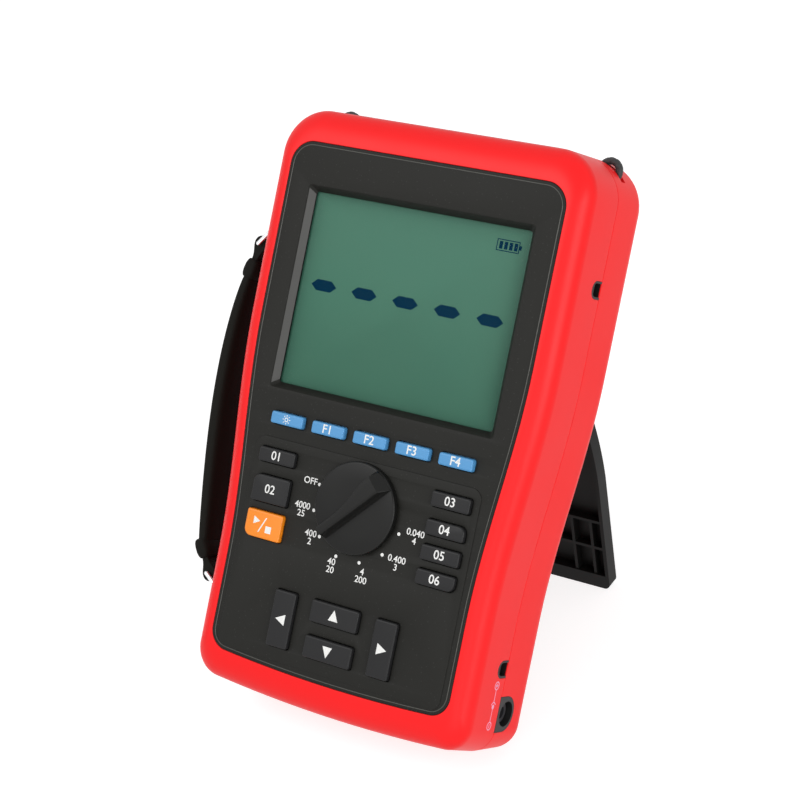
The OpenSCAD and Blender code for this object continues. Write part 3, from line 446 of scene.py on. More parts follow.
def curve_mesh(name: str, curve: bpy.types.Curve, shift: Sequence[float]) -> bpy.types.Mesh:
    """Turns a curve drawn on the face into a mesh in the world.

    Args:
        name: Name of the curve's object.
        curve: The curve, in millimetres.
        shift: Where the curve's zero goes in the meter's frame.

    Returns:
        The mesh.
    """
    drawn = add_object(name, curve)
    mesh = evaluated(drawn)
    bpy.data.objects.remove(drawn)
    bpy.data.curves.remove(curve)
    points = np.empty(len(mesh.vertices) * 3)
    mesh.vertices.foreach_get("co", points)
    mesh.vertices.foreach_set("co", METER.world(points.reshape(-1, 3) + shift).ravel())
    return mesh


def cut(piece: bpy.types.Object, cutters: Sequence[Shape], bevel: float = 0.0) -> None:
    """Cuts closed shapes out of a piece, and rounds its sharp edges where asked.

    Args:
        piece: The piece that is cut.
        cutters: Closed shapes in the meter's frame.
        bevel: Width of the rounding in millimetres, or zero.
    """
    tools = []
    for shape in cutters:
        tool = mesh_of("cutter", shape, smooth=None)
        tools.append(tool)
        mod = piece.modifiers.new("cut", "BOOLEAN")
        mod.operation, mod.solver, mod.object = "DIFFERENCE", "EXACT", tool
    apply_modifiers(piece)
    for tool in tools:
        bpy.data.objects.remove(tool)
    if bevel:
        soften(piece, bevel, SMOOTH_WIDE)
    shade(piece, SMOOTH)
    flatten(piece)


def soften(piece: bpy.types.Object, width: float, angle: float) -> None:
    """Rounds the edges of a piece that are sharper than an angle in degrees.

    Args:
        piece: The piece.
        width: Width of the rounding in millimetres.
        angle: The angle.
    """
    mod = piece.modifiers.new("soften", "BEVEL")
    mod.width, mod.segments, mod.limit_method = width * MM, 2, "ANGLE"
    mod.angle_limit, mod.harden_normals, mod.use_clamp_overlap = np.radians(angle), False, True
    apply_modifiers(piece)
    shade(piece, SMOOTH)


def slab(name: str, outlines: Sequence[np.ndarray], z0: float, z1: float, bevel: float,
         segments: int = 3) -> bpy.types.Object:
    """A flat plate of an outer outline with holes, whose edges are all rounded by the same radius.

    The outlines are drawn as a filled curve with a depth and a bevel, which is then made a mesh.

    Args:
        name: Name of the object.
        outlines: The outer outline first, then the holes.
        z0: Lower face.
        z1: Upper face.
        bevel: Radius of the edges.
        segments: Steps of the rounding.

    Returns:
        The new object.
    """
    curve = bpy.data.curves.new(name, "CURVE")
    curve.dimensions, curve.fill_mode = "2D", "BOTH"
    curve.extrude, curve.bevel_depth = (z1 - z0) / 2 - bevel, bevel
    curve.bevel_resolution, curve.offset = segments - 1, -bevel
    for outline in outlines:
        spline = curve.splines.new("POLY")
        spline.points.add(len(outline) - 1)
        flat = np.column_stack([outline, np.zeros(len(outline)), np.ones(len(outline))])
        spline.points.foreach_set("co", flat.ravel())
        spline.use_cyclic_u = True
    mesh = curve_mesh(name, curve, [0, 0, (z0 + z1) / 2])
    merge(mesh)
    piece = add_object(name, mesh)
    shade(piece, SMOOTH_WIDE)
    return piece


def merge(mesh: bpy.types.Mesh) -> None:
    """Merges doubles of a mesh and points its faces outwards.

    Args:
        mesh: The mesh.
    """
    with editing(mesh) as work:
        bmesh.ops.remove_doubles(work, verts=work.verts, dist=MERGE)
        bmesh.ops.recalc_face_normals(work, faces=work.faces)


def unite(name: str, pieces: Sequence[bpy.types.Object]) -> bpy.types.Object:
    """Joins several objects' meshes into one object.

    Args:
        name: Name of the new object.
        pieces: The objects, which are removed.

    Returns:
        The new object.
    """
    mesh = bpy.data.meshes.new(name)
    with editing(mesh) as work:
        for piece in pieces:
            work.from_mesh(piece.data)
            bpy.data.objects.remove(piece)
    joined = add_object(name, mesh)
    shade(joined, SMOOTH_WIDE)
    return joined


def dressed_copy(name: str, node: str, bevel: float, smooth: float = 30) -> bpy.types.Object:
    """A copy of a node's mesh with its doubles merged, flats joined and edges rounded.

    Args:
        name: Name of the copy.
        node: The node.
        bevel: Width of the rounding in millimetres, or zero.
        smooth: Shading angle in degrees.

    Returns:
        The copy.
    """
    mesh = frame["nodes"][node].data.copy()
    mesh.materials.clear()
    merge(mesh)
    with editing(mesh) as work:
        bmesh.ops.dissolve_limit(work, angle_limit=np.radians(1), verts=work.verts, edges=work.edges)
    piece = add_object(name, mesh)
    if bevel:
        soften(piece, bevel, SMOOTH)
    shade(piece, smooth)
    return flatten(piece)


def lettering(name: str, marks: Sequence[tuple[str, float, float, float]], z: float) -> bpy.types.Object:
    """Flat numbers and words at places on the face, each given as text, x, y and height.

    Args:
        name: Name of the object.
        marks: Text, centre and letter height in millimetres.
        z: Height of the surface that carries them.

    Returns:
        The new object.
    """
    size_share, bold_share = 1.38, 0.012
    pieces = []
    for text, x, y, height in marks:
        curve = bpy.data.curves.new(name, "FONT")
        curve.body, curve.size = text, height * size_share
        curve.align_x, curve.align_y, curve.extrude = "CENTER", "CENTER", PRINT_T / 2
        curve.offset = height * bold_share
        pieces.append(add_object(name, curve_mesh(name, curve, [x, y, z + PRINT_T / 2])))
    return unite(name, pieces)


# Finishes

class Nodes:
    """Short ways to place and join shader nodes in one tree."""

    def __init__(self, tree: bpy.types.NodeTree) -> None:
        """Keeps the tree."""
        self.tree = tree

    def add(self, kind: str, **values: object) -> bpy.types.Node:
        """Adds a node and sets it.

        Args:
            kind: Blender's name of the node's type.
            values: Properties, and inputs by name, each a plain value or a socket.

        Returns:
            The node.
        """
        node = self.tree.nodes.new(kind)
        for key, value in values.items():
            if hasattr(node, key):
                setattr(node, key, value)
            else:
                self.feed(node, key.replace("_", " "), value)
        return node

    def feed(self, node: bpy.types.Node, key: int | str, value: object) -> None:
        """Gives an input a socket or a plain value.

        Args:
            node: The node.
            key: Name or number of its input.
            value: A socket to join or a value to set.
        """
        if isinstance(value, bpy.types.NodeSocket):
            self.tree.links.new(value, node.inputs[key])
        else:
            node.inputs[key].default_value = value

    def math(self, operation: str, a: object, b: object = 0.5) -> bpy.types.NodeSocket:
        """Works one value out of two.

        Args:
            operation: Blender's name of the operation.
            a: First value, a socket or a number.
            b: Second value, a socket or a number.

        Returns:
            The result's socket.
        """
        node = self.add("ShaderNodeMath", operation=operation)
        self.feed(node, 0, a)
        self.feed(node, 1, b)
        return node.outputs[0]

    def mix(self, factor: bpy.types.NodeSocket, a: object, b: object) -> bpy.types.NodeSocket:
        """A blend of two colours, each a socket or four numbers, by the second one's share."""
        return self.add("ShaderNodeMix", data_type="RGBA", Factor=factor, A=a, B=b).outputs["Result"]


def new_group(name: str, inputs: dict[str, float], outputs: Sequence[str]) -> Nodes:
    """Starts a shader node group whose inputs and outputs are numbers.

    Args:
        name: Name of the group.
        inputs: Input names with their defaults.
        outputs: Output names.

    Returns:
        The tools that fill the group.
    """
    group = bpy.data.node_groups.new(name, "ShaderNodeTree")
    for key, value in inputs.items():
        socket = group.interface.new_socket(key, in_out="INPUT", socket_type="NodeSocketFloat")
        socket.default_value = value
    for key in outputs:
        group.interface.new_socket(key, in_out="OUTPUT", socket_type="NodeSocketFloat")
    return Nodes(group)


def new_material(name: str, **inputs: object) -> tuple[bpy.types.Material, Nodes, bpy.types.Node]:
    """Starts a material on a principled shader.

    Args:
        name: Name of the material.
        inputs: Values of the shader's inputs by name, with low lines for spaces.

    Returns:
        The material, the tools for its tree, and the shader's node.
    """
    made = bpy.data.materials.new(name)
    made.use_nodes = True
    n, shader = Nodes(made.node_tree), made.node_tree.nodes["Principled BSDF"]
    for key, value in inputs.items():
        n.feed(shader, key.replace("_", " "), value)
    return made, n, shader


def seen_ray(n: Nodes) -> bpy.types.NodeSocket:
    """Tells the rays that show a surface from those that light the room.

    Args:
        n: The tools for the tree that asks.

    Returns:
        One for a ray from the camera, or by way of gloss or glass, and zero for the others.
    """
    light = n.add("ShaderNodeLightPath").outputs
    shown = n.math("MAXIMUM", light["Is Glossy Ray"], light["Is Transmission Ray"])
    return n.math("MAXIMUM", light["Is Camera Ray"], shown)


class Groups:
    """The shared effects, each a node group made once."""

    def __init__(self) -> None:
        """Makes every group."""
        self.grain = self._grain()
        self.weave = self._weave()

    @staticmethod
    def _grain() -> bpy.types.NodeTree:
        """Moulded grain: fine noise over a coarse drift, with a mask of tiny specks.

        Returns:
            The group.
        """
        n = new_group("moulded_grain", {"Scale": 900.0, "Drift Scale": 25.0}, ["Height", "Drift", "Specks"])
        scale, coarse = n.add("NodeGroupInput").outputs[:2]
        place = n.add("ShaderNodeTexCoord").outputs["Object"]
        fine = n.add("ShaderNodeTexNoise", Detail=2.0, Roughness=0.6, Vector=place, Scale=scale)
        cells = n.add("ShaderNodeTexVoronoi", Vector=place, Scale=n.math("MULTIPLY", scale, 0.45))
        cells = cells.outputs["Distance"]
        drift = n.add("ShaderNodeTexNoise", Detail=3.0, Roughness=0.5, Vector=place, Scale=coarse)
        height = n.math("ADD", n.math("MULTIPLY", fine.outputs["Fac"], 0.7), n.math("MULTIPLY", cells, 0.3))
        specks = n.math("LESS_THAN", cells, 0.12)
        n.add("NodeGroupOutput", Height=height, Drift=drift.outputs["Fac"], Specks=specks)
        return n.tree

    @staticmethod
    def _weave() -> bpy.types.NodeTree:
        """Woven tape: two crossed waves over the piece's own UV map, the one over where the other dips.

        Returns:
            The group.
        """
        n = new_group("woven_tape", {"Warp": 40.0, "Weft": 200.0}, ["Height", "Shade"])
        inside = n.add("NodeGroupInput").outputs
        split = n.add("ShaderNodeSeparateXYZ", Vector=n.add("ShaderNodeUVMap").outputs["UV"]).outputs
        counts = [n.math("MULTIPLY", split[0], inside["Warp"]), n.math("MULTIPLY", split[1], inside["Weft"])]
        cross = n.math("MULTIPLY", *(n.math("SINE", n.math("MULTIPLY", count, TURN)) for count in counts))
        n.add("NodeGroupOutput", Height=n.math("MULTIPLY_ADD", cross, 0.5), Shade=n.math("ABSOLUTE", cross))
        return n.tree


GROUPS = Groups()


@dataclass(frozen=True)
class Surface:
    """What every finish has: its name, the record's slot and its colour."""

    name: str
    slot: str
    colour: tuple[float, float, float]
    depth: float = 0.02

    def material(self) -> bpy.types.Material:
        """The finish's material, made at its first use."""
        return bpy.data.materials.get("look_" + self.name) or self.make()

    def finished(self, parts: tuple[bpy.types.Material, Nodes, bpy.types.Node], height: bpy.types.NodeSocket,
                 colour: bpy.types.NodeSocket, strength: float) -> bpy.types.Material:
        """Joins colour and bump to the shader.

        Args:
            parts: The material, the tools for its tree, and the shader's node.
            height: Height of the relief.
            colour: The finish's colour.
            strength: Strength of the bump.

        Returns:
            The material.
        """
        made, n, shader = parts
        bump = n.add("ShaderNodeBump", Strength=strength, Distance=self.depth * MM, Height=height)
        n.feed(shader, "Base Color", colour)
        n.feed(shader, "Normal", bump.outputs["Normal"])
        return made


@dataclass(frozen=True)
class Finish(Surface):
    """One moulded, metal or printed finish."""

    roughness: float = 0.45
    metallic: float = 0.0
    grain: float = 900.0
    drift: float = 0.06
    specks: float = 0.0
    coat: float = 0.0
    specular: float = 0.5

    def make(self) -> bpy.types.Material:
        """Builds the material: grain in the bump, drift in colour and roughness.

        Returns:
            The material.
        """
        parts = new_material("look_" + self.name, Metallic=self.metallic, Specular_IOR_Level=self.specular,
                             Coat_Weight=self.coat)
        n, shader = parts[1:]
        grain = n.add("ShaderNodeGroup", node_tree=GROUPS.grain, Scale=self.grain).outputs
        low = (*(c * (1 - self.drift) for c in self.colour), 1)
        high = (*(min(1.0, c * (1 + self.drift) + self.specks * 0.02) for c in self.colour), 1)
        colour = n.mix(grain["Drift"], low, high)
        if self.specks:
            pale = (*(min(1.0, c + self.specks * 0.25) for c in self.colour), 1)
            colour = n.mix(n.math("MULTIPLY", grain["Specks"], 0.6), colour, pale)
        swing = n.math("MULTIPLY", grain["Drift"], ROUGH_SWING)
        rough = n.math("ADD", swing, self.roughness - ROUGH_SWING / 2)
        n.feed(shader, "Roughness", rough)
        return self.finished(parts, grain["Height"], colour, min(1.0, self.depth * 10))


@dataclass(frozen=True)
class Weave(Surface):
    """A woven finish that follows the piece's own UV map."""

    depth: float = 0.15
    warp: float = 1.0
    weft: float = 1.0
    roughness: float = 0.85
    sheen: float = 0.15
    dark_share: float = 0.45

    def make(self) -> bpy.types.Material:
        """Builds the material: the weave in bump and colour.

        Returns:
            The material.
        """
        parts = new_material("look_" + self.name, Roughness=self.roughness, Sheen_Weight=self.sheen)
        n = parts[1]
        weave = n.add("ShaderNodeGroup", node_tree=GROUPS.weave, Warp=self.warp, Weft=self.weft).outputs
        dark = (*(c * self.dark_share for c in self.colour), 1)
        colour = n.mix(weave["Shade"], dark, (*self.colour, 1))
        return self.finished(parts, weave["Height"], colour, 0.8)


class Look(Enum):
    """Every finish of the meter, by the thing that wears it."""

    FRONT = Finish("red_front", "front_red", (0.975, 0.013, 0.015), roughness=0.40, grain=1500,
                   depth=0.012, drift=0.02, specular=0.22)
    REAR = Finish("red_rear", "rear_red", (0.985, 0.011, 0.012), roughness=0.42, grain=1500, depth=0.012,
                  drift=0.01, specular=0.21)
    FACE = Finish("face_grain", "face_plastic", (0.0105, 0.0103, 0.0085), roughness=0.52, grain=1100,
                  depth=0.035, drift=0.10, specks=0.10, specular=0.17)
    # Lighter copy of the face plastic for the surround's left wall: a painted highlight.
    LIT_WALL = Finish("surround_painted_highlight", "face_plastic", (0.034, 0.033, 0.030), roughness=0.5, grain=1100,
                  depth=0.02)
    KEY = Finish("key_dark", "key_dark", (0.0165, 0.0165, 0.0172), roughness=0.38, grain=1300, depth=0.02,
                 specular=0.2)
    BLUE = Finish("key_blue", "key_blue", (0.083, 0.305, 0.60), roughness=0.36, grain=1300, depth=0.012,
                  specular=0.4)
    ORANGE = Finish("key_orange", "key_orange", (0.98, 0.265, 0.008), roughness=0.36, grain=1300,
                    depth=0.012)
    KNOB = Finish("knob_dark", "knob_grey", (0.0078, 0.0078, 0.0072), roughness=0.32, grain=1500,
                  depth=0.010, specular=0.20)
    STAND = Finish("stand_dark", "stand_black", (0.0050, 0.0048, 0.0045), roughness=0.5, grain=900,
                   depth=0.03, specular=0.16)
    BLACK = Finish("trim_black", "black_plastic", (0.010, 0.010, 0.010), roughness=0.45, grain=900,
                   depth=0.02, specular=0.3)
    PRINT = Finish("white_print", "face_plastic", (0.86, 0.86, 0.84), roughness=0.5, depth=0.005,
                   drift=0.02)
    PINK_PRINT = Finish("pale_print", "front_red", (0.92, 0.42, 0.60), roughness=0.5, depth=0.005,
                        drift=0.02)
    STEEL = Finish("plated_steel", "zinc_steel", (0.62, 0.62, 0.60), roughness=0.28, metallic=1.0,
                   depth=0.006)
    CHROME = Finish("ring_chrome", "ring_chrome", (0.80, 0.81, 0.82), roughness=0.14, metallic=1.0,
                    depth=0.003)
    BRASS = Finish("contact_brass", "contact_brass", (0.83, 0.62, 0.27), roughness=0.25, metallic=1.0,
                   depth=0.004)
    ALUMINIUM = Finish("bare_aluminium", "bare_aluminium", (0.72, 0.73, 0.74), roughness=0.35, metallic=1.0)
    SHUNT = Finish("resistance_metal", "resistance_metal", (0.62, 0.42, 0.24), roughness=0.3, metallic=1.0)
    SPRING = Finish("spring_steel", "spring_steel", (0.6, 0.62, 0.64), roughness=0.25, metallic=1.0)
    BOARD = Finish("board_green", "board_green", (0.02, 0.16, 0.05), roughness=0.3, grain=400, coat=0.3)
    COMPONENT = Finish("component_black", "component_black", (0.025, 0.025, 0.028), roughness=0.5)
    WHITE = Finish("white_moulding", "white_plastic", (0.78, 0.78, 0.76), roughness=0.45)
    RUBBER = Finish("mat_rubber", "grey_rubber", (0.26, 0.29, 0.28), roughness=0.65)
    CELL = Finish("cell_sleeve", "cell_blue", (0.04, 0.12, 0.36), roughness=0.3, coat=0.4)
    CERAMIC = Finish("fuse_ceramic", "fuse_body", (0.72, 0.68, 0.58), roughness=0.4)
    PAD = Finish("pad_soft", "pad_black", (0.0075, 0.0073, 0.0058), roughness=0.75, grain=700, depth=0.06,
                 drift=0.2, specular=0.12)
    # Lighter copy of the face plastic for the ridge near the face's edge: a painted highlight.
    RIDGE_HIGHLIGHT = Finish("face_ridge_highlight", "face_plastic", (0.060, 0.060, 0.052), roughness=0.35, grain=1100,
                   specular=0.4)
    SEGMENT = Finish("display_dark", "display_green", (0.0005, 0.027, 0.062), roughness=0.6, depth=0.002,
                     specular=0.02)
    CORD = Weave("cord_braid", "cord_black", (0.030, 0.030, 0.032), warp=9, weft=26, depth=0.5,
                 roughness=0.6)


def seat(piece: bpy.types.Object, look: Look, body: str = ROOT,
         nodes: Sequence[str] = ()) -> bpy.types.Object:
    """Dresses a piece, rides it on a body and lets it stand for nodes.

    Args:
        piece: The piece.
        look: Its finish.
        body: Name of the body.
        nodes: The nodes that it replaces.

    Returns:
        The same piece.
    """
    piece.data.materials.clear()
    piece.data.materials.append(look.value.material())
    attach(piece, body)
    if nodes:
        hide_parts(*nodes)
    log.info("%s on %s", piece.name, body)
    return piece


def wear(node: str, material: bpy.types.Material) -> None:
    """Gives a node that keeps its own shape a material."""
    for slot in frame["nodes"][node].material_slots:
        slot.material = material


def dress_nodes(**looks: Look) -> None:
    """Gives nodes that keep their own shape a finish each."""
    for node, look in looks.items():
        wear(node, look.value.material())


def arch(y: float, h: float, d: float, way: int, steps: int = 12) -> np.ndarray:
    """Outline in Y and Z of an opening with a round end, from the joint line towards way.

    Args:
        y: Middle of the opening.
        h: Its width along Y.
        d: Its depth along Z.
        way: One towards the front, minus one towards the back.
        steps: Steps of the round end.

    Returns:
        Points of the outline, anticlockwise.
    """
    r = h / 2
    q = np.linspace(0, np.pi, steps + 1)
    round_end = np.stack([y + r * np.cos(q), -CASE.seam + way * (d - r + r * np.sin(q))], 1)
    foot = np.array([[y - r, -CASE.seam - way * 0.05], [y + r, -CASE.seam - way * 0.05]])
    ring = np.concatenate([round_end, foot])
    return ring if way > 0 else ring[::-1]


def side_prism(ring: np.ndarray, x0: float, x1: float) -> Shape:
    """A prism along X over an outline in Y and Z."""
    return Shape.grid([np.column_stack([np.full(len(ring), x), ring]) for x in (x0, x1)], caps=True)


@dataclass
class Shells:
    """The red halves of the case.

    The door has a width, a height and a middle, the jack's opening a middle, a width and a depth, and each
    lip of the joint line an inset and a rise.
    """

    wall_in: float = 3.2
    shelf: float = 4.6
    ledge: float = 2.0
    face_t: float = 2.0
    plate_gap: float = 0.15
    seam_edge: float = 0.38
    lug_h: float = 7.9
    lug_d: float = 8.15
    window_half: float = 52.15
    window_low: float = 139.0
    window_z: tuple[float, float] = (-42.15, -14.85)
    back_solid: float = -44.5
    round_steps: int = 14
    door: tuple[float, float, float] = (80.4, 62.4, -16)
    side_cut: tuple[float, float] = (60, 90)
    notch_r: float = 11
    screw_r: float = 3.1
    screw_floor: float = -42
    screw_out: float = 12.2
    screw_turn: float = 18
    low_screws: tuple[tuple[float, float], ...] = ((70.35, 62.0), (54.0, -82.6))
    jack: tuple[float, float, float] = (-73, 15.8, 14.15)
    slot_turn: tuple[float, float] = (37, 84)
    slot_r: tuple[float, float] = (13.0, 21.5)
    slot_z: tuple[float, float] = (-38.95, -35.05)
    lips: tuple[tuple[float, float], ...] = ((0.05, 0.6), (0, 1.6))

    def front(self) -> bpy.types.Object:
        """Front half: rings from the joint line over the rim, down to the ledge and back inside.

        Returns:
            The front half.
        """
        steps = np.linspace(0, np.pi / 2, self.round_steps + 1)
        rings = [level(CASE.case(self.seam_edge), -CASE.seam)]
        rings += [level(CASE.case(inset), -CASE.seam + self.seam_edge * rise) for inset, rise in self.lips]
        rings += [level(*CASE.rim(q)) for q in steps]
        gap = self.plate_gap
        rings += [level(CASE.face(-gap - 0.12), -0.03), level(CASE.face(-gap), -0.2),
                  level(CASE.face(-gap), -self.face_t), level(CASE.face(self.ledge), -self.face_t),
                  level(CASE.face(self.ledge), -self.shelf), level(CASE.cavity(self.wall_in), -self.shelf),
                  level(CASE.cavity(self.wall_in), -CASE.seam)]
        piece = mesh_of("front_case", Shape.grid(rings, close=True), smooth=50)
        x0, x1 = self.side_cut
        cutters = [side_prism(arch(y, self.lug_h, self.lug_d, 1), sign * x0, sign * x1)
                   for y in LUG_Y for sign in (-1, 1)]
        cutters.append(self._window())
        cut(piece, [self._outward(c) for c in cutters])
        return piece

    @staticmethod
    def _outward(shape: Shape) -> Shape:
        """The shape with its faces pointing out, whichever way it was drawn.

        Args:
            shape: A closed shape.

        Returns:
            The same shape, turned over if its volume is negative.
        """
        p, f = shape.points, shape.faces
        volume = sum(np.dot(p[a[0]], np.cross(p[a[i]], p[a[i + 1]])) for a in f for i in range(1, len(a) - 1))
        return shape if volume > 0 else Shape(p, [a[::-1] for a in f])

    def _window(self) -> Shape:
        """Opening of the top end for the terminal block.

        Returns:
            The opening as a closed shape.
        """
        x, y0, y1 = self.window_half, self.window_low, CASE.up + 5
        return Shape.prism(rectangle(-x, x, y0, y1), *self.window_z)

    def rear(self) -> bpy.types.Object:
        """Rear half: a cup of rings, with the pocket, the door's place and the openings cut out of it.

        Returns:
            The rear half.
        """
        steps = np.linspace(np.pi / 2, 0, self.round_steps + 1)
        inside, rim_z = CASE.case(self.wall_in), -CASE.seam - 0.02
        rings = [level(inside, self.back_solid), level(inside, rim_z),
                 level(CASE.case(self.seam_edge), rim_z)]
        rings += [level(CASE.case(inset), -CASE.seam - self.seam_edge * rise) for inset, rise in self.lips]
        rings += [level(*CASE.back(q)) for q in steps[::-1]]
        piece = mesh_of("rear_case", Shape.grid(rings, caps=True, flip=True), smooth=50)
        stand = Kickstand()
        pocket = stand.plan(0.6, stand.barrel_r + 0.65) + [0, stand.pin_y]
        back, (corner_x, corner_y), turn = -CASE.depth - 1, CASE.corner_at, np.radians(self.screw_turn)
        notch = circle(self.notch_r, 48, 0, stand.pin_y - stand.length - 0.6)
        door = rounded_box(self.door[0], self.door[1], [1.2] * 4) + [0, self.door[2]]
        cutters = [Shape.prism(pocket, back, stand.pocket_z), Shape.prism(notch, back, stand.pocket_z),
                   Shape.prism(door, stand.pocket_z - 1, stand.pocket_z + 2), self._window()]
        spots = [(corner_x + self.screw_out * np.cos(turn), corner_y + self.screw_out * np.sin(turn)),
                 *self.low_screws]
        cutters += [Shape.prism(circle(self.screw_r, 32, s * x, y), back, self.screw_floor)
                    for x, y in spots for s in (-1, 1)]
        cutters.append(side_prism(arch(*self.jack, -1), *self.side_cut))
        cutters += [self._cord_slot(s) for s in (-1, 1)]
        cut(piece, [self._outward(c) for c in cutters], bevel=0.25)
        return piece

    def _cord_slot(self, side: int) -> Shape:
        """Slot round a top corner: a ring sector with square ends, wider than the cord.

        Args:
            side: One for the right corner, minus one for the left.

        Returns:
            The slot as a closed shape.
        """
        x, y = CASE.corner_at
        q = np.radians(np.linspace(*self.slot_turn, 20))
        profile = rectangle(*self.slot_r, *self.slot_z)
        rows = [np.column_stack([side * (x + r * np.cos(q)), y + r * np.sin(q), np.full(len(q), z)])
                for r, z in profile]
        return Shape.grid(np.stack(rows, 1), caps=True)

    def build(self) -> None:
        """Builds both halves."""
        seat(self.front(), Look.FRONT, nodes=["front_shell"])
        seat(self.rear(), Look.REAR, nodes=["rear_shell"])


@dataclass
class Kickstand:
    """The stand's outline, shared by the stand itself and by its pocket in the rear half."""

    half_w: float = 50.0
    pin_y: float = 127.0
    barrel_r: float = 4.2
    corner: float = 3.0
    bend_from: float = 57.0
    bend_to: float = 100.0
    taper: float = 0.2236
    pocket_z: float = -47.5
    length: float = 187.168

    def side(self, t: np.ndarray) -> np.ndarray:
        """Half width at a distance from the foot: straight, then a parabola, then a straight taper.

        Args:
            t: Distances from the foot.

        Returns:
            The half widths.
        """
        run = self.bend_to - self.bend_from
        mid = np.clip(t - self.bend_from, 0, run)
        return self.half_w - self.taper * (mid**2 / (2 * run) + np.clip(t - self.bend_to, 0, None))

    def plan(self, grow: float, top: float) -> np.ndarray:
        """Outline in the stand's own frame, pin at zero and foot towards negative Y.

        Args:
            grow: How far the outline is set out.
            top: Where the upper end stops.

        Returns:
            Points of the outline, anticlockwise.
        """
        q = np.radians(np.linspace(90, 0, 8))
        r = self.corner + grow
        centre = [self.half_w - self.corner, self.corner - self.length]
        foot = centre + r * np.stack([np.cos(q), -np.sin(q)], 1)
        t = np.concatenate([np.linspace(self.bend_from, self.bend_to, 14), [self.length]])
        edge = np.stack([self.side(t) + grow, t - self.length], 1)
        right = np.concatenate([foot, edge, [[edge[-1, 0], top]]])
        return np.concatenate([right, right[::-1] * [-1, 1]])

    def build(self) -> None:
        """Dresses the stand with its edges rounded, and its pin."""
        seat(dressed_copy("folding_stand", "kickstand", 0.35), Look.STAND, "stand", ["kickstand"])
        dress_nodes(stand_pin=Look.STEEL)


@dataclass(frozen=True)
class KeyForm:
    """A key: its node, centre, size, corner radii from bottom right anticlockwise, and finish."""

    node: str
    x: float
    y: float
    w: float
    h: float
    radii: tuple[float, float, float, float]
    look: Look


SMALL = (1.0, 1.0, 1.0, 1.0)
KEYS = [KeyForm(f"blue_key_{i + 1}", (i - 2) * 21.5, 29.5, 16.6, 5.3, SMALL, Look.BLUE) for i in range(5)] + [
    KeyForm("left_key_top", -44.4, 12.8, 18.8, 6.4, SMALL, Look.KEY),
    KeyForm("left_key_middle", -44.4, -1.95, 18.8, 11.9, (1.0, 1.0, 3.5, 1.0), Look.KEY),
    KeyForm("start_key", -44.4, -17.6, 18.8, 11.9, (1.0, 1.0, 1.0, 3.5), Look.ORANGE),
    KeyForm("right_key_1", 44.4, 12.6, 18.8, 6.6, SMALL, Look.KEY),
    KeyForm("right_key_2", 44.4, 0.6, 18.8, 6.6, (1.0, 3.0, 1.0, 1.0), Look.KEY),
    KeyForm("right_key_3", 44.4, -10.1, 18.8, 6.6, SMALL, Look.KEY),
    KeyForm("right_key_4", 44.4, -20.5, 18.8, 6.6, (3.0, 1.0, 1.0, 1.0), Look.KEY),
    KeyForm("arrow_key_left", -26.0, -55.0, 10.9, 24.8, SMALL, Look.KEY),
    KeyForm("arrow_key_up", 0.0, -47.2, 24.2, 9.6, SMALL, Look.KEY),
    KeyForm("arrow_key_down", 0.0, -62.8, 24.2, 9.6, SMALL, Look.KEY),
    KeyForm("arrow_key_right", 26.0, -55.0, 10.9, 24.8, SMALL, Look.KEY)]


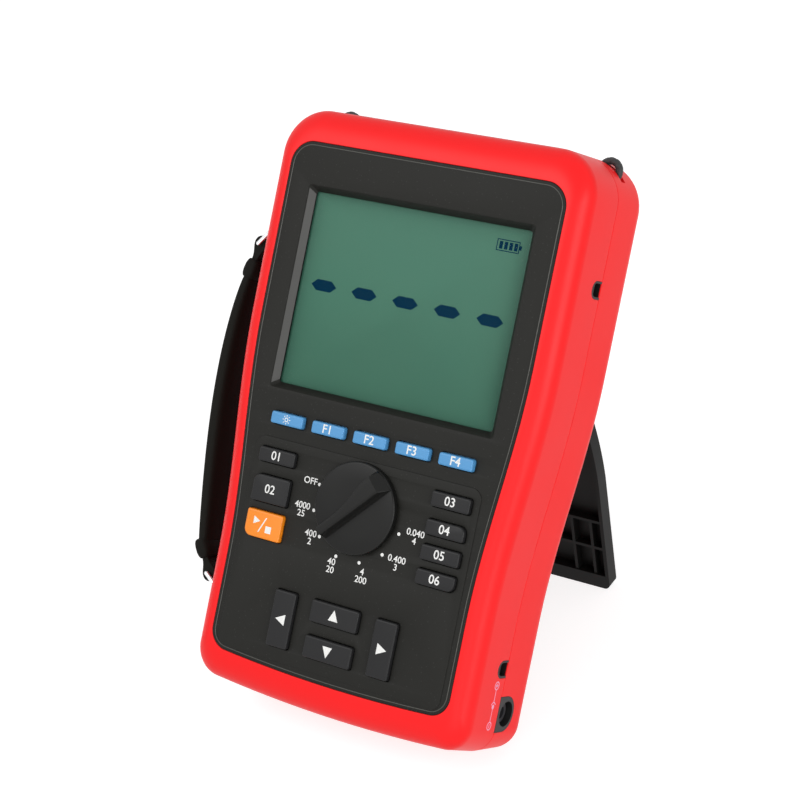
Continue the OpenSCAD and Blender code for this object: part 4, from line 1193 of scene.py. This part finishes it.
@dataclass
class Keypad:
    """The sixteen keys and their marks."""

    top: float = 2.4
    low: float = -2.0
    bevel: float = 0.75
    flange_low: float = -3.4
    flange: float = 1.2
    stem_low: float = -11.8
    stem_r: float = 1.5
    mark_h: float = 3.9

    def key(self, form: KeyForm) -> None:
        """A key: a plate with rounded edges on a flange and a stem, riding on the key's body.

        Args:
            form: The key.
        """
        outline = rounded_box(form.w, form.h, form.radii) + [form.x, form.y]
        body = slab(form.node + "_cap", [outline], self.low - self.bevel, self.top, self.bevel, 4)
        wide = rounded_box(form.w + 2 * self.flange, form.h + 2 * self.flange, [1.5] * 4) + [form.x, form.y]
        skirt = mesh_of("skirt", Shape.join([
            Shape.prism(wide, self.flange_low, self.low - 0.02),
            Shape.prism(circle(self.stem_r, 24, form.x, form.y), self.stem_low, self.flange_low + 0.2)]))
        seat(unite(form.node + "_cap", [body, skirt]), form.look, form.node + "_body", [form.node])

    def _arrow(self, turn: float, size: float = 2.7) -> Shape:
        """A flat triangle that points up before it is turned.

        Args:
            turn: Angle in degrees.
            size: Height of the tip over the centre.

        Returns:
            The triangle.
        """
        ring = np.array([[-size * 0.9, -size * 0.8], [size * 0.9, -size * 0.8], [0, size]])
        return printed(ring, self.top).turned(turn)

    def _sun(self) -> Shape:
        """A lamp sign: a ring with eight rays.

        Returns:
            The sign.
        """
        disc = circle(0.95, 24)
        low, high = self.top, self.top + PRINT_T
        rings = [level(disc * 0.62, low), level(disc * 0.62, high), level(disc, high), level(disc, low)]
        hub = Shape.grid(rings, close=True, flip=True)
        rays = [printed(rectangle(1.3, 2.0, -0.16, 0.16), self.top).turned(45 * i) for i in range(8)]
        return Shape.join([hub, *rays])

    def _run(self) -> Shape:
        """A run and halt sign: a triangle, a slanted line and a square.

        Returns:
            The sign.
        """
        square = rectangle(1.6, 4.6, -3.1, -0.1)
        line = np.array([[-2.2, -3.4], [-1.6, -3.4], [1.6, 3.4], [1.0, 3.4]])
        flats = [printed(outline, self.top) for outline in (square, line)]
        return Shape.join([self._arrow(-90, 1.9).moved(-3.6, 1.4), *flats])

    def marks(self) -> None:
        """Plain signs on the keys: a lamp, numbers and arrows, each riding with its key."""
        places = {k.node: (k.x, k.y) for k in KEYS}
        words = {"blue_key_2": "F1", "blue_key_3": "F2", "blue_key_4": "F3", "blue_key_5": "F4",
                 "left_key_top": "01", "left_key_middle": "02", "right_key_1": "03", "right_key_2": "04",
                 "right_key_3": "05", "right_key_4": "06"}
        turns = {"arrow_key_left": 90, "arrow_key_up": 0, "arrow_key_down": 180, "arrow_key_right": -90}
        self._sign("lamp_sign", self._sun(), "blue_key_1")
        for node, text in words.items():
            mark = lettering(node + "_mark", [(text, *places[node], self.mark_h)], self.top)
            seat(mark, Look.PRINT, node + "_body")
        self._sign("run_sign", self._run(), "start_key")
        for node, turn in turns.items():
            self._sign(node + "_sign", self._arrow(turn), node)

    @staticmethod
    def _sign(name: str, sign: Shape, node: str) -> None:
        """Puts a sign on the middle of a key.

        Args:
            name: Name of the piece.
            sign: The sign, drawn round zero.
            node: The key's node.
        """
        key = next(k for k in KEYS if k.node == node)
        seat(mesh_of(name, sign.moved(key.x, key.y), smooth=None), Look.PRINT, node + "_body")

    def build(self) -> None:
        """Builds keys and marks."""
        for form in KEYS:
            self.key(form)
        self.marks()


@dataclass
class Face:
    """The dark face plate, the display behind it and the print on it."""

    field_z: float = 0.4
    field_half: float = 57.5
    field_low: float = -73.7
    field_top: float = 20.7
    field_r: float = 5.0
    key_gap: float = 0.3
    display_w: float = 113.4
    display_low: float = 42.2
    display_high: float = 131.6
    surround_d: float = 3.2
    surround_in: float = 2.4
    hub_hole: float = 7.3
    dot_r: float = 0.76
    number_h: float = 2.9
    number_r: tuple[float, float] = (30.2, 29.2)
    pair_rise: float = 1.5
    line_step: float = 3.5

    def _holes(self, keys: Sequence[KeyForm]) -> list[np.ndarray]:
        """Outline of the hole round each key."""
        g = self.key_gap
        return [rounded_box(k.w + 2 * g, k.h + 2 * g, [r + g for r in k.radii]) + [k.x, k.y] for k in keys]

    def plate(self) -> bpy.types.Object:
        """The plate with its rounded holes, the raised keypad field and the sloping display surround.

        Returns:
            The plate.
        """
        mid = (self.display_low + self.display_high) / 2
        tall = self.display_high - self.display_low
        opening = rounded_box(self.display_w, tall, [1.5] * 4) + [0, mid]
        hub = circle(self.hub_hole, 48)
        plate = slab("plate", [CASE.face(0), opening, hub, *self._holes(KEYS)], -2, 0, 0.3)
        middle_y = (self.field_top + self.field_low) / 2
        outer = rounded_box(2 * self.field_half, self.field_top - self.field_low, [self.field_r] * 4, 10)
        low_keys = self._holes([k for k in KEYS if k.y < self.field_top])
        raised = slab("field", [outer + [0, middle_y], hub, *low_keys], -0.6, self.field_z, 0.25)
        foot = self.surround_d + 0.02
        steps = [(0.0, -0.3), (0.0, -0.25), (-self.surround_in, -self.surround_d), (-self.surround_in, -foot),
                 (2.0, -foot), (2.0, -1.9), (0.3, -1.9)]
        rings = [level(rounded_box(self.display_w + 2 * grow, tall + 2 * grow, [1.5] * 4) + [0, mid], z)
                 for grow, z in steps]
        walls = mesh_of("walls", Shape.grid(rings, close=True, flip=True), smooth=30)
        return unite("face_panel", [plate, raised, walls])

    def lit_left_wall(self) -> bpy.types.Object:
        """A thin strip on the left wall of the surround, mitred at both ends, in a lighter finish: a painted
        highlight where that wall faces the light.

        Returns:
            The strip.
        """
        x0, x1 = -self.display_w / 2 + 0.15, -self.display_w / 2 + self.surround_in
        inner = (self.surround_in, -self.surround_d)
        section = [(x0, 0.15, -0.5), (x1, *inner), (x1 + 0.04, *inner), (x0 + 0.04, 0.15, -0.46)]
        rows = [np.array([[x, y0 + way * mitre, z] for x, mitre, z in section])
                for y0, way in ((self.display_low + 0.3, 1), (self.display_high - 0.3, -1))]
        return mesh_of("surround_highlight_strip", Shape.grid(rows, caps=True), smooth=30)

    def edge_line(self) -> bpy.types.Object:
        """The fine ridge that runs round the face just inside its edge; its lighter finish is a painted
        highlight on it.

        Returns:
            The ridge.
        """
        section = [(1.25, -0.1), (1.35, 0.1), (1.5, 0.17), (1.65, 0.1), (1.75, -0.1)]
        rings = [level(CASE.face(inset), z) for inset, z in section]
        return mesh_of("face_ridge_highlight", Shape.grid(rings, close=True), smooth=60)

    def dial_print(self) -> None:
        """Prints a dot and plain numbers at each stop of the dial."""
        # Angle, radius of the dot, offset of the numbers, and their lines
        labels = [(165, 21.9, 3.3, -1.3, ("OFF",)), (195, 22.2, 1.6, 1.2, ("4000", "25")),
                  (225, 22.7, 0.7, 3.4, ("400", "2")), (255, 23.1, 0.2, 1.6, ("40", "20")),
                  (285, 23.1, 0.5, 0.9, ("4", "200")), (315, 23.1, 2.4, 2.5, ("0.400", "3")),
                  (345, 23.1, 1.0, 2.2, ("0.040", "4"))]
        dots, words = [], []
        for angle, r, dx, dy, lines in labels:
            c, s = np.cos(np.radians(angle)), np.sin(np.radians(angle))
            dots.append(printed(circle(self.dot_r, 20, r * c, r * s), self.field_z))
            x = self.number_r[0] * c + dx
            y = self.number_r[1] * s + dy + self.pair_rise * (len(lines) - 1)
            words += [(line, x, y - self.line_step * i, self.number_h) for i, line in enumerate(lines)]
        seat(mesh_of("dial_dots", Shape.join(dots), smooth=None), Look.PRINT)
        seat(lettering("dial_numbers", words, self.field_z), Look.PRINT)

    def build(self) -> None:
        """Builds the plate, its ridge with a painted highlight, the painted highlight strip on the surround's
        left wall, and the dial's print.
        """
        seat(self.plate(), Look.FACE, nodes=["face_plate"])
        # The ridge is real shape; its lighter finish is a painted highlight.
        seat(self.edge_line(), Look.RIDGE_HIGHLIGHT)
        # Painted highlight: a lighter strip on the surround's left wall, which faces the light.
        seat(self.lit_left_wall(), Look.LIT_WALL)
        self.dial_print()


@dataclass
class Display:
    """Liquid crystal glass with its segments, behind a clear window."""

    z: float = -4.38
    t: float = 0.02
    dash: tuple[float, float, float] = (13.1 / 2, 4.9 / 2, 2.9)
    dash_y: float = 89.5
    dash_step: float = 21.0
    cell: tuple[float, float, float, float] = (38.0, 49.0, 118.8, 123.8)
    cell_line: float = 0.4
    tints: tuple[tuple[float, ...], tuple[float, ...]] = ((0.062, 0.197, 0.135, 1), (0.074, 0.206, 0.138, 1))
    # Colour and sharpness of the painted shade along the glass's edges, next to the surround's walls.
    edge_shade_tint: tuple[float, ...] = (0.030, 0.105, 0.070, 1)
    edge_shade_power: float = 14.0

    def glass(self) -> bpy.types.Material:
        """Green display glass with a faint mottle; its darker, bluer edges are painted shade next to the
        surround's walls.

        Returns:
            The material.
        """
        made, n, shader = new_material("display_glass_green", Roughness=0.3, Specular_IOR_Level=0.1)
        place = n.add("ShaderNodeTexCoord").outputs["Object"]
        low, high = (np.array(corner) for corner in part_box("display_glass"))
        centre, half = (low + high) / 2, (high - low) / 2
        split = n.add("ShaderNodeSeparateXYZ", Vector=place).outputs
        powers = []
        for i in (0, 2):
            share = n.math("MULTIPLY", n.math("SUBTRACT", split[i], centre[i]), 1 / half[i])
            powers.append(n.math("POWER", n.math("ABSOLUTE", share), self.edge_shade_power))
        # Painted shade: the glass darkens towards its edges, under the surround's walls.
        edge = n.math("MULTIPLY", n.math("MAXIMUM", *powers), 0.9)
        noise = n.add("ShaderNodeTexNoise", Scale=22.0, Detail=2.0, Vector=place)
        green = n.mix(noise.outputs["Fac"], *self.tints)
        n.feed(shader, "Base Color", n.mix(edge, green, self.edge_shade_tint))
        return made

    def window(self) -> bpy.types.Material:
        """Clear window: nearly see-through, with a gloss."""
        return new_material("clear_window", Base_Color=(0.02, 0.03, 0.03, 1), Alpha=0.06,
                            Specular_IOR_Level=0.12, Roughness=0.08)[0]

    def segments(self) -> Shape:
        """Five long dashes, and a battery with four bars in its frame.

        Returns:
            The segments as one shape.
        """
        w, h, tip = self.dash
        dash = np.array([[-w, 0], [-w + tip, -h], [w - tip, -h], [w, 0], [w - tip, h], [-w + tip, h]])
        outlines = [dash + [(i - 2) * self.dash_step, self.dash_y] for i in range(5)]
        (x0, x1, y0, y1), line = self.cell, self.cell_line
        boxes = [(x0, x1, y0, y0 + line), (x0, x1, y1 - line, y1), (x0, x0 + line, y0, y1),
                 (x1 - line, x1, y0, y1), (x1, x1 + 1.0, 120.4, 122.2)]
        boxes += [(39.3 + 2.4 * i, 40.9 + 2.4 * i, y0 + 0.9, y1 - 0.9) for i in range(4)]
        outlines += [rectangle(*box) for box in boxes]
        return Shape.join([Shape.prism(outline, self.z, self.z + self.t) for outline in outlines])

    def build(self) -> None:
        """Dresses glass and window, and lays the segments between them."""
        wear("display_glass", self.glass())
        wear("display_window", self.window())
        seat(mesh_of("display_segments", self.segments(), smooth=None), Look.SEGMENT)
        dress_nodes(backlight=Look.WHITE, display_holder=Look.BLACK)


@dataclass
class Dial:
    """The range knob: a disc with a rounded edge and a grip bar across it."""

    r: float = 20.0
    low: float = 0.6
    top: float = 3.6
    edge: float = 0.9
    grip_top: float = 7.8
    rest: float = 225.0
    tail: float = 19.0
    tip_from: float = 15.2
    bar_half: float = 1.75
    hub_r: float = 7.0
    hub_low: float = -7.5

    def disc(self) -> Shape:
        """The disc and its hub, turned about the dial's axis."""
        rim = arc(self.r - self.edge, self.top - self.edge, self.edge, 0, 90)
        return revolve([(0.0, self.hub_low), (self.hub_r, self.hub_low), (self.hub_r, self.low),
                        (self.r - 0.25, self.low), (self.r, self.low + 0.25), *rim, (12.0, self.top),
                        (0.0, self.top)])

    def grip(self) -> Shape:
        """The bar: at each place u along it the section is a flat top between two steep flanks.

        One side of the top runs straight and slopes out to a point at the disc's edge; the other side
        spreads with a smooth step towards the arrow. Near the arrow the top falls to the disc.

        Returns:
            The bar with its length along X and its arrow towards positive X.
        """
        u = np.concatenate([np.linspace(-self.tail, -18.2, 5), np.linspace(-17.5, 14.6, 20),
                            np.linspace(self.tip_from, 19.3, 14)])
        tip = np.clip((u - self.tip_from) / 4.1, 0, 1)
        rim = np.sqrt(np.maximum(19.65**2 - u * u, 0.04))
        rise = np.clip((u + self.tail) / 0.7, 0.12, 1) ** 0.6 * (1 - 0.95 * tip)
        spread = np.clip((u + 9.0) / 24.0, 0, 1)
        wide = self.bar_half + 4.2 * spread**2 * (3 - 2 * spread)
        sides = [(np.minimum(wide, rim - 0.3), np.minimum(wide + 1.4, rim)),
                 (np.minimum(self.bar_half + 1.65 * tip, rim - 0.2), np.minimum(3.5, rim))]
        steps = [(1.0, 0.0, 0.0), (0.72, 0.28, 0.16), (0.3, 0.7, 0.62), (0.06, 0.94, 0.95), (0.0, 0.97, 0.99),
                 (0.0, 0.9, 1.0), (0.0, 0.45, 1.0)]
        h = self.grip_top - self.top
        halves = [[np.stack([u, sign * (foot * f + top * t), self.top - 0.05 + up * h * rise], 1)
                   for f, t, up in steps] for sign, (top, foot) in zip((1, -1), sides)]
        over = np.stack(halves[0] + halves[1][::-1], 1)
        under = over[:, ::-1].copy()
        under[:, :, 2] = self.top - 0.4
        return Shape.grid(np.concatenate([over, under], 1), caps=True)

    def build(self) -> None:
        """Builds the knob at its rest and dresses the switch under it."""
        bar = self.grip().turned(self.rest - 180)
        knob = unite("knob", [mesh_of("disc", self.disc(), SMOOTH_WIDE), mesh_of("bar", bar, smooth=32)])
        merge(knob.data)
        shade(knob, 38)
        seat(knob, Look.KNOB, "knob", ["range_knob"])
        dress_nodes(switch_rotor=Look.WHITE, wiper_contacts=Look.BRASS, detent_spring=Look.SPRING)


@dataclass
class HandStrap:
    """Padded hand strap on the left with its collars, webbing and wire rings."""

    top_y: float = 88.4
    low_y: float = -36.0
    bulge: float = 18.5
    top_in: float = 3.8
    bow: float = 5.2
    share: float = 0.75
    z: float = -24.9
    webbing_w: float = 20.0
    strap_w: float = 26.0
    strap_t: float = 7.5
    end_t: float = 5.0
    ring_out: float = 9.0
    ring_drop: float = 8.6
    fold_r: float = 3.7
    tape_half: float = 1.5
    fold_run: float = 4.2

    def outer_x(self, u: float | np.ndarray) -> float | np.ndarray:
        """Distance of the pad's outer face from the middle: a line between its ends and a leaning sine."""
        line = (CASE.half_w + self.bulge - self.top_in) * (1 - u) + (CASE.low_half_w + self.bulge) * u
        return line + self.bow * np.sin(np.pi * u**self.share)

    def pad(self) -> bpy.types.Object:
        """The pad: rounded sections along the bulge, thick in the middle and drawn in at both ends.

        Returns:
            The pad.
        """
        u = np.linspace(0, 1, 90)
        swell = np.sin(np.pi * np.clip(u, 1e-4, 1 - 1e-4)) ** 0.4
        t = (self.end_t + (self.strap_t - self.end_t) * swell) / 2
        w = (self.webbing_w + (self.strap_w - self.webbing_w) * swell) / 2
        c, s = oval(64, 0.6, 0.55)
        x = -self.outer_x(u)[:, None] + t[:, None] + t[:, None] * c
        z = self.z + w[:, None] * s
        y = np.repeat((self.top_y + (self.low_y - self.top_y) * u)[:, None], len(c), 1)
        return mesh_of("grip_pad", Shape.grid(np.stack([x, y, z], 2), caps=True, flip=True), smooth=70)

    def _ends(self, lug_y: float, way: float, u: float) -> tuple[np.ndarray, np.ndarray]:
        """Middle of a ring's outer bar, and middle of the pad's end that it holds.

        Args:
            lug_y: Height of the lug that holds the ring.
            way: How far the ring hangs, as a share, and towards which end.
            u: End of the pad, 0 for the upper one.

        Returns:
            Both points across the case.
        """
        bar = np.array([-CASE.side_at(lug_y) - self.ring_out, lug_y - way * self.ring_drop])
        end_y = self.top_y + (self.low_y - self.top_y) * u
        return bar, np.array([self.end_t / 2 - self.outer_x(u), end_y])

    def fold(self, lug_y: float, way: float, u: float) -> Shape:
        """Webbing folded round a ring's bar and led to the pad: a drop-shaped section carried along Z.

        The section is a circle round the bar that narrows smoothly to the flat tape towards the pad, and
        its edge is drawn in a little at both sides of the tape.

        Args:
            lug_y: Height of the lug that holds the ring.
            way: How far the ring hangs, as a share, and towards which end.
            u: End of the pad that it leads to, 0 for the upper one.

        Returns:
            The fold as a closed shape.
        """
        bar, end = self._ends(lug_y, way, u)
        along = (end - bar) / np.linalg.norm(end - bar)
        across = np.array([-along[1], along[0]])
        run = np.linalg.norm(end - bar) - 1.2
        a = np.concatenate([-self.fold_r * np.cos(np.linspace(0, np.pi / 2, 12)), np.linspace(0.6, run, 16)])
        half = np.where(a < 0, np.sqrt(np.maximum(self.fold_r**2 - a * a, 0.0)),
                        self.tape_half + 2.2 * np.exp(-(np.maximum(a, 0) / self.fold_run) ** 2))
        ring = np.concatenate([np.stack([a, -half], 1), np.stack([a, half], 1)[:0:-1]])
        edge = [(-9.9, 0.82), (-9.6, 0.93), (-9.0, 1.0), (9.0, 1.0), (9.6, 0.93), (9.9, 0.82)]
        rows = [level(bar + ring[:, :1] * along + ring[:, 1:] * pull * across, self.z + z)
                for z, pull in edge]
        return Shape.grid(rows, caps=True)

    def collar(self, lug_y: float, way: float, u: float) -> Shape:
        """A soft sleeve over the pad's end and the webbing: oval sections that swell in the middle.

        Args:
            lug_y: Height of the lug that holds the ring.
            way: How far the ring hangs, as a share, and towards which end.
            u: End of the pad that the sleeve covers, 0 for the upper one.

        Returns:
            The sleeve as a closed shape.
        """
        bar, end = self._ends(lug_y, way, u)
        along = (bar - end) / np.linalg.norm(bar - end)
        across = np.array([-along[1], along[0]])
        c, s = oval(48, 0.5, 0.5)
        swells = [(-2.6, 2.5, 10.6), (-2.2, 3.3, 11.2), (-1.0, 3.8, 11.6), (1.0, 4.0, 11.8), (3.5, 3.9, 11.7),
                  (5.2, 3.5, 11.4), (6.1, 2.9, 11.0), (6.4, 2.0, 10.4)]
        rows = [level(end + along * place + across * (half * c)[:, None], self.z + wide * s)
                for place, half, wide in swells]
        return Shape.grid(rows, caps=True)

    def build(self) -> None:
        """Builds the pad and dresses what holds it."""
        pad = seat(self.pad(), Look.PAD, nodes=["strap_pad"])
        ends = [(LUG_Y[0], 1.0, 0.0), (LUG_Y[1], -0.6, 1.0)]
        collars = unite("collars", [mesh_of("collar", self.collar(*e), smooth=60) for e in ends])
        seat(collars, Look.PAD, nodes=["strap_collars"])
        webbing = unite("webbing", [mesh_of("fold", self.fold(*e), smooth=60) for e in ends])
        seat(webbing, Look.PAD, nodes=["strap_loops"])
        seat(dressed_copy("wire_rings", "strap_rings", 0.0, 60), Look.CHROME, nodes=["strap_rings"])


@dataclass
class Ports:
    """Terminal block, sockets, data port, power jack and strap lugs."""

    sign_z: float = -22.2
    ends_y: tuple[float, float] = (-59.9, -77.3)
    middle_y: float = -69.0
    line: float = 0.45
    ink: float = 0.04

    def build(self) -> None:
        """Dresses the ports."""
        seat(dressed_copy("terminal_panel", "terminal_block", 0.3), Look.BLACK, nodes=["terminal_block"])
        dress_nodes(test_sockets=Look.BRASS, usb_port=Look.STEEL)
        seat(dressed_copy("jack_ring", "jack_insert", 0.3), Look.BLACK, nodes=["jack_insert"])
        dress_nodes(dc_jack=Look.COMPONENT)
        # The black sheets inside the lugs are painted shade; the bushes are the real black linings.
        shade_sheets = [self._lug_shade_sheet(y, s) for y in LUG_Y for s in (-1, 1)]
        bushes = dressed_copy("linings", "lug_bushes", 0.2)
        lining = unite("lug_linings_and_shade", [bushes, mesh_of("shade_sheets", Shape.join(shade_sheets))])
        seat(lining, Look.BLACK, nodes=["lug_bushes"])
        self.jack_sign()

    @staticmethod
    def _lug_shade_sheet(y: float, side: int) -> Shape:
        """Black sheet inside a lug, on the joint line: painted shade over the joint face that lies in shadow
        there.

        Args:
            y: Middle of the lug.
            side: One for the right side, minus one for the left.

        Returns:
            The sheet as a closed shape.
        """
        s = CASE.side_at(y)
        ring = rectangle(s - 6.0, s - 0.5, y - 2.9, y + 2.9)
        ring = ring if side > 0 else ring[::-1] * [-1, 1]
        return Shape.prism(ring, -CASE.seam - 0.1, -CASE.seam + 0.12)

    def jack_sign(self) -> None:
        """The pale polarity sign beside the jack: plus, centre and minus joined by a line."""
        parts = []
        for y in self.ends_y:
            parts += [self._ring(y, 1.9, self.line), self._bar(y - 0.9, y + 0.9, 0.4)]
        parts += [self._bar(-60.3, -59.5, 1.8), self._bar(-66.9, -61.8, 0.4), self._bar(-75.4, -70.0, 0.4)]
        parts += [self._arch(self.middle_y, 2.1, self.line), self._ring(self.middle_y, 1.0, 1.0)]
        seat(mesh_of("jack_sign", Shape.join(parts).moved(CASE.low_half_w), smooth=None), Look.PINK_PRINT)

    def _ring(self, y: float, r: float, line: float) -> Shape:
        """A flat ring on the side of the case.

        Args:
            y: Centre.
            r: Outer radius.
            line: Width of the line.

        Returns:
            The ring.
        """
        outer, inner = circle(r, 24), circle(max(r - line, 0.01), 24)
        rows = [np.column_stack([np.full(24, h), ring + [y, self.sign_z]]) for ring, h in
                [(inner, 0.0), (inner, self.ink), (outer, self.ink), (outer, 0.0)]]
        return Shape.grid(rows, close=True)

    def _arch(self, y: float, r: float, line: float) -> Shape:
        """The upper part of a flat ring on the side of the case.

        Args:
            y: Centre.
            r: Outer radius.
            line: Width of the line.

        Returns:
            The arch.
        """
        q = np.linspace(-1.15, 1.15, 14)
        rows = [np.column_stack([np.full(14, h), y + a * np.cos(q), self.sign_z + a * np.sin(q)])
                for a, h in [(r - line, 0.0), (r - line, self.ink), (r, self.ink), (r, 0.0)]]
        return Shape.grid(np.stack(rows, 1), caps=True)

    def _bar(self, y0: float, y1: float, line: float) -> Shape:
        """A flat bar on the side of the case, from one height to the other."""
        z0, z1 = self.sign_z - line / 2, self.sign_z + line / 2
        return side_prism(rectangle(y0, y1, z0, z1), 0.0, self.ink)


@dataclass
class NeckCord:
    """The two braided loops at the top corners."""

    radial: float = 18.2
    turn: float = 61.0
    bend_r: float = 4.3
    r: float = 1.65
    z: float = -37.0
    lift: float = 1.5

    def loop(self, side: int) -> Shape:
        """A torus whose section swells with the braid: crossed helices of strands round the cord.

        Args:
            side: One for the right corner, minus one for the left.

        Returns:
            The loop.
        """
        a = np.linspace(0, 2 * np.pi, 160, endpoint=False)[:, None]
        b = np.linspace(0, 2 * np.pi, 32, endpoint=False)[None]
        strands = np.maximum(np.cos(12 * a + 4 * b), np.cos(12 * a - 4 * b))
        r = self.r * (0.93 + 0.07 * strands)
        (corner_x, corner_y), turn = CASE.corner_at, np.radians(self.turn)
        cx = corner_x + self.radial * np.cos(turn)
        cy = corner_y + self.radial * np.sin(turn) + (self.lift if side < 0 else 0.0)
        x = side * (cx + (self.bend_r + r * np.cos(b)) * np.cos(a))
        y = cy + (self.bend_r + r * np.cos(b)) * np.sin(a)
        z = self.z + r * np.sin(b) + 0 * a
        return Shape.grid(np.stack([x, y, z], 2), close=True, flip=side < 0)

    def build(self) -> None:
        """Builds both loops as one piece."""
        piece = mesh_of("cord_loops", Shape.join([self.loop(-1), self.loop(1)]), smooth=70)
        uv = piece.data.uv_layers.new(name="UVMap")
        uv.data.foreach_set("uv", np.full(2 * len(piece.data.loops), 0.25))
        seat(piece, Look.CORD, nodes=["neck_cord_loops"])


class Inside:
    """Everything behind the face that the case hides."""

    def build(self) -> None:
        """Dresses each node."""
        dress_nodes(keypad_mat=Look.RUBBER, main_board=Look.BOARD, board_parts=Look.COMPONENT,
                    heat_sink=Look.ALUMINIUM, current_shunt=Look.SHUNT, fuse=Look.CERAMIC,
                    buzzer=Look.COMPONENT, board_screws=Look.STEEL, case_screws=Look.STEEL,
                    battery_door=Look.BLACK, battery_door_screws=Look.STEEL, battery_pack=Look.CELL)


@dataclass
class Studio:
    """Floor, lights and the camera at the photograph's place."""

    camera_mm: tuple[float, float, float] = (492.749, 103.170, 815.528)
    right: tuple[float, float, float] = (0.83767, 0.19734, -0.50928)
    down: tuple[float, float, float] = (0.19853, -0.97868, -0.05269)
    ahead: tuple[float, float, float] = (-0.50881, -0.05697, -0.85899)
    focal_px: float = 2250.0
    image_px: float = 800.0
    sensor: float = 36.0
    floor_half: float = 6.0
    floor_grey: float = 0.55
    floor_glow: float = 0.74
    fill: float = 0.45
    aim: tuple[float, float, float] = (0, 0, 0.12)

    def camera(self) -> None:
        """The camera, from its place and directions in the meter's frame."""
        data = bpy.data.cameras.new("camera")
        data.sensor_width, data.lens = self.sensor, self.focal_px / self.image_px * self.sensor
        data.clip_end = 20
        lens = add_object("camera", data)
        rows = [METER.direction(w) for w in (self.right, [-c for c in self.down], [-c for c in self.ahead])]
        turn = Matrix([list(r) for r in rows]).transposed().to_4x4()
        lens.matrix_world = Matrix.Translation(Vector(METER.world(np.array(self.camera_mm)))) @ turn
        bpy.context.scene.camera = lens

    def floor(self) -> None:
        """A wide pale floor, white to the camera but for the object's shadow."""
        size = self.floor_half
        mesh = bpy.data.meshes.new("floor")
        mesh.from_pydata(level(rectangle(-size, size, -size, size), 0).tolist(), [], [(0, 1, 2, 3)])
        floor = add_object("floor", mesh)
        made, n, shader = new_material("pale_floor", Base_Color=(*[self.floor_grey] * 3, 1), Roughness=0.9,
                                       Specular_IOR_Level=0.1, Emission_Color=(1, 1, 1, 1))
        n.feed(shader, "Emission Strength", n.math("MULTIPLY", seen_ray(n), self.floor_glow))
        mesh.materials.append(made)

    def world(self) -> None:
        """White to the camera, an even pale grey to the light."""
        world = bpy.data.worlds.new("studio")
        bpy.context.scene.world = world
        world.use_nodes = True
        n = Nodes(world.node_tree)
        back = world.node_tree.nodes["Background"]
        n.feed(back, "Color", (1, 1, 1, 1))
        n.feed(back, "Strength", n.math("ADD", n.math("MULTIPLY", seen_ray(n), 1 - self.fill), self.fill))

    def lamp(self, name: str, place: tuple[float, float, float], size: float, power: float) -> None:
        """A soft square lamp that looks at the middle of the meter.

        Args:
            name: Name of the lamp.
            place: Its place in the world, in metres.
            size: Its side in metres.
            power: Its power in watts.
        """
        data = bpy.data.lights.new(name, "AREA")
        data.shape, data.size, data.energy = "SQUARE", size, power
        lamp = add_object(name, data)
        turn = (Vector(self.aim) - Vector(place)).to_track_quat("-Z", "Y").to_matrix().to_4x4()
        lamp.matrix_world = Matrix.Translation(Vector(place)) @ turn

    def build(self) -> None:
        """Sets the studio."""
        self.camera()
        self.floor()
        self.world()
        for name, place, size, power in [("key_light", (-0.7, -1.1, 1.3), 0.9, 10),
                                         ("side_light", (1.4, -0.5, 0.6), 0.9, 11),
                                         ("front_light", (0.5, -1.5, 0.5), 1.0, 4)]:
            self.lamp(name, place, size, power)
        bpy.context.scene.view_settings.view_transform = "Standard"


def main() -> None:
    """Builds the studio, then the meter from the case inwards."""
    logging.basicConfig(level=logging.INFO, format="%(name)s: %(message)s")
    for builder in (Studio(), Shells(), Face(), Display(), Keypad(), Dial(), Kickstand(), HandStrap(),
                    Ports(), NeckCord(), Inside()):
        builder.build()
        log.info("built %s", type(builder).__name__)


if __name__ == "__main__":
    main()
